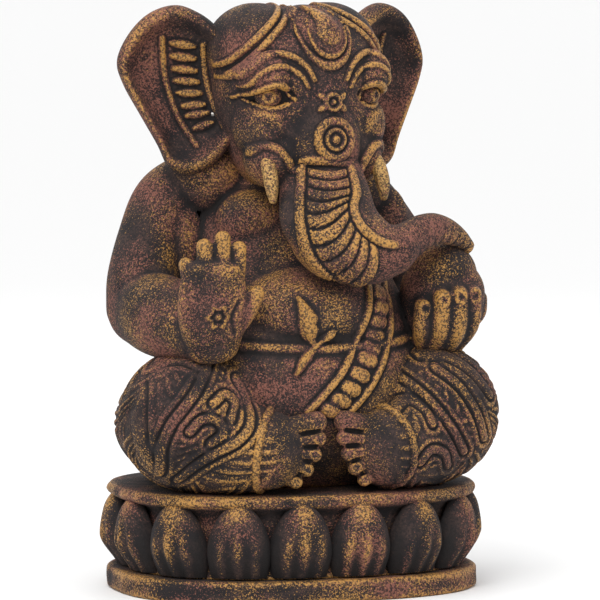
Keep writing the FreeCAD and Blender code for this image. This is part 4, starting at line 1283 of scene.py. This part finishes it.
@dataclass
class TorsoAndArms:
    """The bare upper body with its belt, sash and beads, both arms and both hands."""

    voxel: float = 1.4
    trunk_levels: Rows = (
        (72, 0, 8, 62, 56), (88, 0, 2, 76, 68), (112, 0, -3, 86, 80), (138, 0, -4, 89, 84),
        (162, 0, -2, 88, 82),
        (186, 0, 2, 82, 76), (206, 0, 8, 74, 66), (226, 0, 15, 67, 57), (248, 0, 21, 64, 50),
        (268, 1, 26, 58, 44),
        (284, 2, 25, 44, 38), (300, 2, 18, 33, 34), (316, 2, 10, 30, 30))
    right_upper: Rows = (
        (-62, 32, 276, 22, 25), (-80, 30, 262, 24, 25), (-92, 24, 238, 24, 24), (-101, 14, 212, 25, 25),
        (-104, 6, 194, 25, 25))
    right_fore: Rows = (
        (-103, 2, 192, 26, 26), (-98, -22, 189, 28, 28), (-90, -46, 184, 25, 25), (-80, -64, 178, 19, 20))
    left_upper: Rows = (
        (52, 36, 270, 22, 24), (66, 36, 258, 22, 23), (80, 32, 238, 22, 23), (92, 26, 214, 23, 23),
        (97, 20, 198, 23, 23))
    left_fore: Rows = (
        (97, 16, 194, 23, 23), (97, 0, 188, 23, 23), (94, -16, 182, 21, 21))
    right_hand: Hand = field(default_factory=lambda: Hand(
        ((-77, -72, 172, 18, 12), (-78, -76, 184, 22, 12), (-79, -79, 198, 24, 11), (-79, -80, 212, 23, 10),
         (-79, -80, 222, 21, 9)),
        ((((-95, -79, 214), (-97, -78, 228)), 5.2), (((-84, -80, 220), (-85, -80, 240)), 5.8),
         (((-73, -80, 221), (-72, -80, 245)), 5.9), (((-62, -79, 216), (-60, -78, 238)), 5.6)),
        ((-60, -76, 186, 6, 6), (-54, -79, 196, 6, 6), (-49, -82, 208, 5.4, 5.4)), (0, 1, 0)))
    left_hand: Hand = field(default_factory=lambda: Hand(
        ((86, -26, 163, 15, 13), (90, -36, 174, 22, 21), (93, -43, 188, 27, 26), (94, -45, 202, 28.5, 27)),
        ((((78, -50, 166), (73, -64, 180), (73, -66, 195)), 6.6), (((84, -52, 164), (84.5, -69, 180),
        (84.5, -73, 201)), 7.0),
         (((92, -52, 164), (96, -70, 180), (96.5, -73, 203)), 7.0),
         (((100, -50, 166), (107, -66, 182), (108, -69, 203)), 6.6)),
        ((112, -40, 178, 6, 6), (119, -46, 188, 6, 6), (120, -48, 198, 5.4, 5.4)), (1, 0, 0)))
    sweet: Point = (94.0, -46.0, 214.0)
    sweet_radius: float = 23.5
    belt_height: float = 169.0
    belt_rise: float = 16.0
    hood: Rows = ((-7.5, 171, 3.0), (-11.5, 179, 5.6), (-13, 188, 6.8), (-15.5, 196, 4.6),
                               (-18.5, 203, 1.4))
    tail: Rows = ((4, 180, 2.4), (-3, 174.5, 3.2), (-10, 167.5, 3.4), (-16, 161.5, 3.2), (-22, 153, 1.6))
    sash_inner: Rows = (
        (62, 258), (56, 244), (46, 226), (35, 208), (30.8, 194), (25, 180.5), (19, 167), (8.6, 152),
        (-3.6, 138.7),
        (-14, 128))
    sash_outer: Rows = (
        (70, 250), (62, 236), (58, 220), (53, 203), (52, 188), (48, 172.7), (41, 159), (30, 143),
        (19, 131), (8, 121))
    beads: int = 13
    roundel: tuple[float, float] = (-78.0, 193.0)
    palm_fold: Rows = ((-66, 182), (-68, 193), (-63, 203))

    def build(self, palette: Palette) -> None:
        """Makes the torso, arms, hands, sweet and every ornament on them."""
        skin = cast(self.blanks(), self.voxel, 3)
        owner = self.owners(skin.points)
        base = self.modelled(skin, owner)
        relief = Relief(skin, base)
        self.ornaments(relief, (owner == 0).astype(float))
        flat, wear_and_shade, _ = relief.finish(palette, {})
        of_face = self.owners(skin.points[skin.faces].mean(1))
        names = ("torso", "right_upper_arm", "right_forearm", "right_hand", "left_upper_arm", "left_forearm",
                 "left_hand")
        for k, name in enumerate(names):
            part_off(skin, base, flat, wear_and_shade, of_face == k, palette.piece(name, Slot.FIGURE))
        ball = cast([globe(self.sweet, (self.sweet_radius,) * 3)], 1.0, 2)
        make_piece(palette.piece("sweet_ball", Slot.FIGURE), ball.points, ball.faces,
                   np.full(len(ball.points), 0.56))

    def blanks(self) -> list[Mesh]:
        """The levels of the torso, chest, belly, arms and hands."""
        forms = [stack(self.trunk_levels, 2.15), globe((-28, -6, 250), (28, 22, 24)),
                 globe((32, -8, 248), (26, 22, 22)), globe((0, -34, 190), (58, 50, 34)),
                 globe((-74, 16, 228), (20, 15, 44)), globe((76, 22, 232), (18, 14, 40)),
                 globe((-54, 20, 280), (29, 25, 27)), globe((52, 24, 274), (26, 22, 24))]
        forms += [limb(rows, (0, 1, 0)) for rows in (self.right_upper, self.right_fore, self.left_upper,
                                                    self.left_fore)]
        return forms + self.right_hand.forms() + self.left_hand.forms()

    def owners(self, points: Array) -> Array:
        """Which part each point belongs to: the one whose form it is nearest to for its size."""
        level = through(self.trunk_levels, 8)
        x, y, a, b = (np.interp(points[:, 2], level[:, 0], level[:, k]) for k in range(1, 5))
        share = [np.hypot((points[:, 0] - x) / a, (points[:, 1] - y) / b)]
        for upper, fore, hand in ((self.right_upper, self.right_fore, self.right_hand),
                                  (self.left_upper, self.left_fore, self.left_hand)):
            share += [nearness(points, upper), nearness(points, fore),
                      np.min([nearness(points, rows) for rows in hand.rows()], axis=0)]
        return np.argmin(share, axis=0)

    def modelled(self, skin: Skin, owner: Array) -> Array:
        """Soft modelling: the tight groove of the belt, the folds of the hands and the roundel."""
        p, n = skin.points, skin.normals()
        front = smooth_step(-n[:, 1], 0.1, 0.5)
        body = (owner == 0).astype(float)
        depth = -2.6 * soft(p[:, 2] - self.belt_at(p), 13) * body
        depth += (owner == 3) * self.right_hand.nails(p, smooth_step(n[:, 1], 0.2, 0.6))
        depth += (owner == 6) * self.left_hand.nails(p, front)
        palm = (owner == 3) * front
        fold, _ = to_line(p[:, [0, 2]], through(self.palm_fold, 6))
        depth -= palm * 1.3 * soft(fold, 2.6)
        x, z = p[:, 0] - self.roundel[0], p[:, 2] - self.roundel[1]
        ring, angle = np.hypot(x, z), np.arctan2(z, x)
        petals = rounded(ring - 6.0 - 1.4 * np.cos(6 * angle), 1.3)
        depth += palm * (1.5 * petals + 1.5 * rounded(ring, 2.4) - 1.0 * soft(ring - 3.9, 1.8))
        dimple = np.hypot(p[:, 0] + 8, (p[:, 2] - 186) / 0.8)
        depth -= body * front * 2.0 * soft(dimple, 5)
        return p + n * depth[:, None]

    def belt_at(self, points: Array) -> Array:
        """Height of the belt round the waist: lowest in front, rising behind as a cosine."""
        angle = np.arctan2(points[:, 0], -points[:, 1])
        return self.belt_height + self.belt_rise * (1 - np.cos(angle)) / 2

    def ornaments(self, relief: Relief, body: Array) -> None:
        """The snake belt with hood and tail, the sash's two cords and the beads between them."""
        p = relief.base
        front = body * (p[:, 1] < -8)
        relief.add("snake_belt", body * 2.7 * rounded(p[:, 2] - self.belt_at(p), 3.6))
        flat = p[:, [0, 2]]
        for name, rows in (("snake_hood", self.hood), ("snake_tail", self.tail)):
            run = through(rows, 6)
            gap, place = to_line(flat, run[:, :2])
            wide = np.interp(place, np.arange(len(run)), run[:, 2])
            spine = 0.75 + 0.25 * soft(gap, wide * 0.5)
            relief.add(name, front * 4.6 * spine * rounded(gap, wide))
        for at, side in ((flat, front), (flat + [6, -2], body * (p[:, 1] > 24))):
            inner, outer = through(self.sash_inner, 8), through(self.sash_outer, 8)
            for line in (inner, outer):
                gap, _ = to_line(at, line)
                relief.add("sash_cords", side * 2.9 * rounded(gap, 2.7))
            for k in range(self.beads):
                i = int((len(inner) - 1) * (0.16 + 0.80 * k / (self.beads - 1)))
                across = outer[i] - inner[i]
                reach = float(np.linalg.norm(across))
                u = (at - (inner[i] + outer[i]) / 2) @ (across / reach)
                v = (at - (inner[i] + outer[i]) / 2) @ (np.array([-across[1], across[0]]) / reach)
                oval = 1 - np.abs(u / (reach * 0.35)) ** 2.6 - np.abs(v / 5.4) ** 2.4
                relief.add("sash_beads", side * 3.6 * np.sqrt(np.clip(oval, 0, 1)))


# ------------------------------------------------------------------ legs and feet
@dataclass
class Leg:
    """A folded leg in carved trousers, with its hem."""

    side: int
    name: str
    leaves: tuple[Rows, ...]
    knee: tuple[Point, Point] = ((-83, -43, 120), (49, 50, 48))
    thigh: tuple[Point, Point] = ((-68, 16, 112), (50, 62, 41))
    shin: Rows = ((-72, -56, 108, 38, 38), (-54, -70, 104, 34, 32), (-41, -77, 102, 29, 27))
    hem_radius: float = 3.0

    def build(self, palette: Palette) -> None:
        """Makes the leg with its relief and the cord round its hem."""
        forms = [globe((self.knee[0][0] * self.side, *self.knee[0][1:]), self.knee[1]),
                 globe((self.thigh[0][0] * self.side, *self.thigh[0][1:]), self.thigh[1]),
                 limb(mirrored(self.shin, self.side))]
        skin = cast(forms, 1.0, 3)
        height = self.carving(skin.points * [self.side, 1, 1], skin.normals() * [self.side, 1, 1])
        full = skin.points + skin.normals() * height[:, None]
        make_piece(palette.piece(self.name + "_leg", Slot.TROUSER), full, skin.faces, skin.wear_and_shade(full),
                   skin.normals(full))
        self.hem(palette)

    def carving(self, p: Array, n: Array) -> Array:
        """Leaf scrolls: double ridges along drawn lines in front, and scalloped bands elsewhere.

        Formula: in front, a half-round ridge over each line with a lower one beside it; everywhere
        else, ridges where the height from the knee's middle, bent by the size of a sine of the
        angle round it, passes a whole number, with slanting veins in every second band. It all
        fades out near the hem.
        """
        front = smooth_step(-n[:, 1], 0.15, 0.45)
        flat = p[:, [0, 2]]
        drawn_height = np.zeros(len(p))
        near = np.full(len(p), 1e9)
        for line in self.leaves:
            gap, _ = to_line(flat, through(line, 6))
            near = np.minimum(near, gap)
            drawn_height = np.maximum(drawn_height, 2.0 * rounded(gap, 3.2))
            drawn_height = np.maximum(drawn_height, 1.3 * rounded(gap - 6.2, 2.0))
        centre = np.asarray(self.knee[0])
        out = unit(p - centre)
        around = np.arctan2(out[:, 1], -out[:, 0])
        level = out[:, 2]
        scallop = np.abs(np.sin(3.5 * around + 2.6 * np.sin(2.2 * level)))
        rows = 5.6 * (level + 0.30 * scallop) + 1.2 * np.sin(2 * around)
        band = np.abs((rows + 0.5) % 1 - 0.5)
        ridges = 1.3 * rounded(band, 0.24)
        veins = 0.7 * rounded(np.abs((7 * around / math.pi * 2 + 2.2 * level) % 1 - 0.5), 0.16) * \
            (np.floor(rows + 0.5) % 2 == 0)
        ground = np.maximum(ridges, veins) * smooth_step(near, 7.5, 10) * front
        rest = np.maximum(ridges, veins) * (1 - front)
        total = drawn_height * front + ground + rest - 0.9 * soft(near - 3.9, 1.4) * front
        clear_of_hem = smooth_step(-p[:, 0], 40, 47)
        return total * clear_of_hem

    def hem(self, palette: Palette) -> None:
        """A round cord about the end of the shin: an ellipse of circles across the shin's way."""
        rows = np.asarray(self.shin)
        centre = rows[-1, :3] * [self.side, 1, 1]
        along = unit((rows[-1, :3] - rows[-2, :3]) * [self.side, 1, 1])
        across = unit(np.cross(along, [0, 0, 1]))
        up = np.cross(across, along)
        steps, sides = 120, 20
        turn = np.linspace(0, 2 * math.pi, steps, endpoint=False)[:, None]
        tube = np.linspace(0, 2 * math.pi, sides, endpoint=False)[None]
        out = across * np.cos(turn)[..., None] + up * np.sin(turn)[..., None]
        ring = centre + across * (rows[-1, 3] * np.cos(turn)[..., None])
        ring = ring + up * (rows[-1, 4] * np.sin(turn)[..., None])
        twist = self.hem_radius * (1 + 0.10 * np.cos(18 * turn + tube))
        points = ring + out * (twist * np.cos(tube))[..., None] + along * (twist * np.sin(tube))[..., None]
        i, j = np.meshgrid(np.arange(steps), np.arange(sides), indexing="ij")
        i2, j2 = (i + 1) % steps, (j + 1) % sides
        faces = np.stack([i * sides + j, i2 * sides + j, i2 * sides + j2, i * sides + j2], -1).reshape(-1, 4)
        flat = points.reshape(-1, 3)
        corner = flat[faces]
        middle = corner.mean(1)
        core = ring.reshape(-1, 3)[faces[:, 0] // sides]
        normal = np.cross(corner[:, 1] - corner[:, 0], corner[:, 2] - corner[:, 0])
        if np.einsum("ij,ij->i", normal, middle - core).sum() < 0:
            faces = faces[:, ::-1]
        # Higher on the cord's outer side, which catches more gold; lower on the side that faces the shin,
        # which gets a little painted shade.
        wear_and_shade = 0.60 + 0.18 * np.cos(tube) + 0 * turn
        make_piece(palette.piece(self.name + "_hem", Slot.TROUSER), flat, faces, wear_and_shade.ravel())


@dataclass
class Foot:
    """A bare foot that lies on its side, sole towards the front, toes stacked."""

    side: int
    name: str
    sole: Rows = (
        (-44, -74, 102, 24, 14), (-36, -80, 102, 25, 15), (-28, -84, 103, 23, 13), (-23, -86, 104, 18, 10))
    toes: tuple[tuple[Point, Point, float], ...] = (
        ((-29, -85, 116), (-10, -90, 121), 8.2), ((-28, -87, 108.5), (-9, -92, 110), 6.0),
        ((-30, -87, 101), (-12, -92, 99.4), 5.8), ((-33, -86, 94), (-17, -91, 89.4), 5.6),
        ((-38, -84, 88), (-24, -89, 81), 5.2))

    def build(self, palette: Palette) -> None:
        """Makes the foot with its toes and nails."""
        forms = [limb(mirrored(self.sole, self.side), (0, -1, 0), 2.3)]
        for root, tip, radius in self.toes:
            forms.append(limb(mirrored(digit((root, tip), radius), self.side), (0, 1, 0), around=24))
        skin = cast(forms, 0.8, 3)
        p = skin.points * [self.side, 1, 1]
        n = skin.normals()
        front = smooth_step(-n[:, 1], 0.2, 0.6)
        depth = np.zeros(len(p))
        for _, tip, radius in self.toes:
            gap = np.hypot(p[:, 0] - tip[0], p[:, 2] - tip[2]) / radius
            depth += front * (0.35 * rounded(gap - 0.60, 0.22) - 0.45 * soft(gap, 0.5))
        for one, two in zip(self.toes, self.toes[1:]):
            root, tip = ((np.array(one[k]) + two[k])[[0, 2]] / 2 for k in (0, 1))
            gap, _ = to_line(p[:, [0, 2]], np.stack([root - 0.35 * (tip - root), tip]))
            depth -= front * 2.4 * soft(gap, 2.3)
        full = skin.points + n * depth[:, None]
        make_piece(palette.piece(self.name + "_foot", Slot.FIGURE), full, skin.faces, skin.wear_and_shade(full),
                   skin.normals(full))


# ------------------------------------------------------------------ plinth
@dataclass
class Lotus:
    """The oval drum, its wreath of upright petals and the slab under it."""

    width: float = 250.0
    depth: float = 196.0
    slab_width: float = 252.0
    slab_depth: float = 200.0
    slab_high: float = 15.0
    deck: float = 72.0
    waist: float = 0.90
    rim: float = 9.0
    power: float = 2.5
    petals: int = 16
    petal_width: float = 45.0
    petal_deep: float = 17.0
    lean: float = 9.0
    around: int = 420
    petal_rings: int = 56
    petal_around: int = 96

    def oval(self, angle: Array, share: Array | float = 1.0) -> Array:
        """Points of the base's outline, a superellipse, at angles and scaled by a share."""
        c, s = np.cos(angle), np.sin(angle)
        x = np.sign(c) * np.abs(c) ** (2 / self.power) * self.width / 2 * share
        y = np.sign(s) * np.abs(s) ** (2 / self.power) * self.depth / 2 * share
        return np.stack([x, y], -1)

    def build(self, palette: Palette) -> None:
        """Makes drum, petals and slab."""
        self.drum(palette)
        self.wreath(palette)
        self.slab(palette)

    def lumps(self, points: Array, size: float) -> Array:
        """A gentle unevenness: the mean of three crossed sine waves."""
        x, y, z = (points / size).T
        return (np.sin(x * 1.9 + 0.7 * z) + np.sin(y * 2.3 - 0.4 * x) + np.sin(z * 2.7 + 0.9 * y)) / 3

    def drum(self, palette: Palette) -> None:
        """The drum: narrow waist, then a rim with rounded lips under the deck."""
        top, low = self.deck, self.slab_high - 0.6
        edge = self.deck - self.rim
        levels = ((low, self.waist), (low + 10, self.waist - 0.01), (edge - 8, self.waist),
        (edge - 2, self.waist + 0.02),
                  (edge, 0.965), (edge + 1.4, 0.99), (edge + 3.6, 1.0), (top - 3.4, 1.0), (top - 1.2, 0.992),
                  (top, 0.965), (top, 0.80), (top, 0.5), (top, 0.2))
        rows = through([(z, share, 0) for z, share in levels], 6)
        angle = np.linspace(0, 2 * math.pi, self.around, endpoint=False)
        rings = np.stack([np.column_stack([self.oval(angle, share), np.full(self.around, min(z, top))])
                          for z, share in rows[:, :2]])
        skin = cast([closed(rings)], 1.25, 2)
        n = skin.normals()
        side = 1 - np.abs(n[:, 2])
        full = skin.points + n * (1.3 * self.lumps(skin.points, 8) * side)[:, None]
        full[:, 2] = np.clip(full[:, 2], self.slab_high - 0.6, self.deck)
        make_piece(palette.piece("lotus_drum", Slot.PLINTH), full, skin.faces, skin.wear_and_shade(full),
                   skin.normals(full))

    def wreath(self, palette: Palette) -> None:
        """The petals: pointed domes that stand against the drum, fluted in their lower half."""
        places = self.even_places()
        points, faces, start = [], [], 0
        for k in range(self.petals):
            centre, out = places[k]
            p, f = self.petal(centre, out)
            points.append(p)
            faces += [[v + start for v in face] for face in f]
            start += len(p)
        every = np.vstack(points)
        wear_and_shade = self.petal_wear_and_shade(len(every) // self.petals)
        worn_and_shaded = np.tile(wear_and_shade, self.petals)
        make_piece(palette.piece("lotus_petals", Slot.PLINTH), every, faces, worn_and_shaded, crease=80)

    def even_places(self) -> list[tuple[Array, Array]]:
        """Centres and outward ways of the petals, spaced evenly along the outline."""
        angle = np.linspace(0, 2 * math.pi, 4001)
        line = self.oval(angle, self.waist)
        run = np.concatenate([[0], np.cumsum(np.linalg.norm(np.diff(line, axis=0), axis=1))])
        at = (np.arange(self.petals) + 0.5) / self.petals * run[-1]
        x, y = np.interp(at, run, line[:, 0]), np.interp(at, run, line[:, 1])
        ahead = np.stack([np.interp(at + 0.5, run, line[:, 0]) - x,
                          np.interp(at + 0.5, run, line[:, 1]) - y], -1)
        out = unit(np.stack([ahead[:, 1], -ahead[:, 0]], -1))
        return [(np.array([a, b]), o) for a, b, o in zip(x, y, out)]

    def petal(self, centre: Array, out: Array) -> Mesh:
        """One petal as rings going up: full at its shoulder, closing to a blunt point.

        Formula: width follows a rounded arch with a point, depth a flatter arch; flutes are a
        cosine across the front that fades towards the tip.
        """
        low, top = self.slab_high + 1.2, self.deck - 4.0
        t = 0.5 - 0.5 * np.cos(np.linspace(0.02, 1, self.petal_rings) * math.pi)
        wide = self.petal_width / 2 * (0.80 + 0.20 * smooth_step(t, -0.15, 0.42))
        wide = wide * np.clip(1 - t ** 2.9, 0, 1) ** 0.66
        deep = self.petal_deep * (0.42 + 0.58 * smooth_step(t, -0.1, 0.40))
        deep = deep * np.clip(1 - t ** 3.8, 0, 1) ** 0.75
        angle = np.linspace(0, 2 * math.pi, self.petal_around, endpoint=False)
        c, s = np.cos(angle), np.sin(angle)
        front = np.clip(s, 0, 1)
        flute = 0.11 * np.cos(7 * math.pi * c * 0.5) * front * (1 - smooth_step(t, 0.35, 0.75))[:, None]
        u = wide[:, None] * c[None]
        v = deep[:, None] * (np.sign(s) * np.abs(s) ** 0.85)[None] * (1 + flute)
        v = np.where(s[None] < 0, v * 0.30, v)
        lean = math.tan(math.radians(self.lean)) * (t * (top - low))
        tangent = np.array([-out[1], out[0]])
        rings = np.zeros((len(t), self.petal_around, 3))
        rings[..., 0] = centre[0] + tangent[0] * u + out[0] * (v - 2.5 + lean[:, None])
        rings[..., 1] = centre[1] + tangent[1] * u + out[1] * (v - 2.5 + lean[:, None])
        rings[..., 2] = (low + t * (top - low))[:, None]
        return closed(rings)

    def petal_wear_and_shade(self, count: int) -> Array:
        """Wear and painted shade of one petal: low at its foot and sides, where no gold is caught and shade
        is painted dark, and caught with gold on the upper front.
        """
        t = 0.5 - 0.5 * np.cos(np.linspace(0.02, 1, self.petal_rings) * math.pi)
        angle = np.linspace(0, 2 * math.pi, self.petal_around, endpoint=False)
        c, s = np.cos(angle), np.sin(angle)
        flute = np.cos(7 * math.pi * c * 0.5) * (s > 0)
        value = 0.30 + 0.30 * np.clip(s, 0, 1)[None] ** 2 * smooth_step(t, 0.05, 0.5)[:, None]
        value = value + 0.20 * soft(t - 0.86, 0.22)[:, None] * np.clip(s, 0, 1)[None]
        value = value + 0.16 * flute[None] * (1 - smooth_step(t, 0.35, 0.75))[:, None]
        return np.concatenate([value.ravel(), np.full(count - value.size, 0.35)])

    def slab(self, palette: Palette) -> None:
        """The plain slab with a worn upper edge."""
        angle = np.linspace(0, 2 * math.pi, self.around, endpoint=False)
        outline = self.oval(angle) * [self.slab_width / self.width, self.slab_depth / self.depth]
        rows = ((0, 0.985), (0.8, 0.996), (2.5, 1.0), (11.5, 1.0), (13.8, 0.994), (15, 0.975))
        run = through([(z, share, 0) for z, share in rows], 6)
        rings = np.stack([np.column_stack([outline * share,
                                           np.full(self.around, min(max(z, 0), self.slab_high))])
                          for z, share in run[:, :2]])
        skin = cast([closed(rings)], 1.3, 1)
        n = skin.normals()
        full = skin.points + n * (0.5 * self.lumps(skin.points, 7) * (1 - np.abs(n[:, 2])))[:, None]
        full[:, 2] = np.clip(full[:, 2], 0, self.slab_high)
        make_piece(palette.piece("plinth_slab", Slot.PLINTH), full, skin.faces, skin.wear_and_shade(full),
                   skin.normals(full))


RIGHT_LEAVES = (
    ((-110, 170), (-121, 154), (-126, 130), (-125, 109), (-117, 88)),
    ((-80, 161), (-90, 146), (-100, 134), (-109, 122), (-114, 106), (-112, 88)),
    ((-62, 150), (-56, 136), (-58, 121), (-68, 110), (-80, 103), (-92, 94), (-100, 84)),
    ((-118, 156), (-108, 162), (-96, 163), (-86, 158)),
    ((-98, 117), (-90, 125), (-80, 124), (-76, 116), (-84, 109)),
    ((-82, 135), (-73, 141), (-66, 135), (-70, 125)))
LEFT_LEAVES = (
    ((-53, 150), (-68, 136), (-83, 117), (-96, 98)), ((-78, 154), (-92, 142), (-104, 124), (-112, 106)),
    ((-46, 128), (-56, 134), (-66, 128), (-70, 118)), ((-60, 93), (-68, 101), (-79, 98), (-84, 89)),
    ((-70, 162), (-88, 161), (-105, 150), (-118, 134)))


# ------------------------------------------------------------------ the whole
def dress_nodes(frame: dict, palette: Palette) -> None:
    """Gives every CAD node its slot's material; only the steel inside is left to show."""
    slots = {entry["node"]: Slot(entry["material_slot"]) for entry in frame["record"]["subparts"]}
    for name, node in frame["nodes"].items():
        node.data.materials.clear()
        node.data.materials.append(palette.made[slots[name]])


def main() -> None:
    """Builds the statue piece by piece, then the setting."""
    logging.basicConfig(level=logging.INFO, format="%(name)s %(message)s")
    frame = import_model()
    palette = Palette.mixed()
    dress_nodes(frame, palette)
    HeadAndTrunk().build(palette)
    Ear(1, "right").build(palette)
    Ear(-1, "left").build(palette)
    TorsoAndArms().build(palette)
    for side, name, leaves in ((1, "right", RIGHT_LEAVES), (-1, "left", LEFT_LEAVES)):
        Leg(side, name, leaves).build(palette)
        Foot(side, name).build(palette)
    Lotus().build(palette)
    Setting().build()


if __name__ == "__main__":
    main()
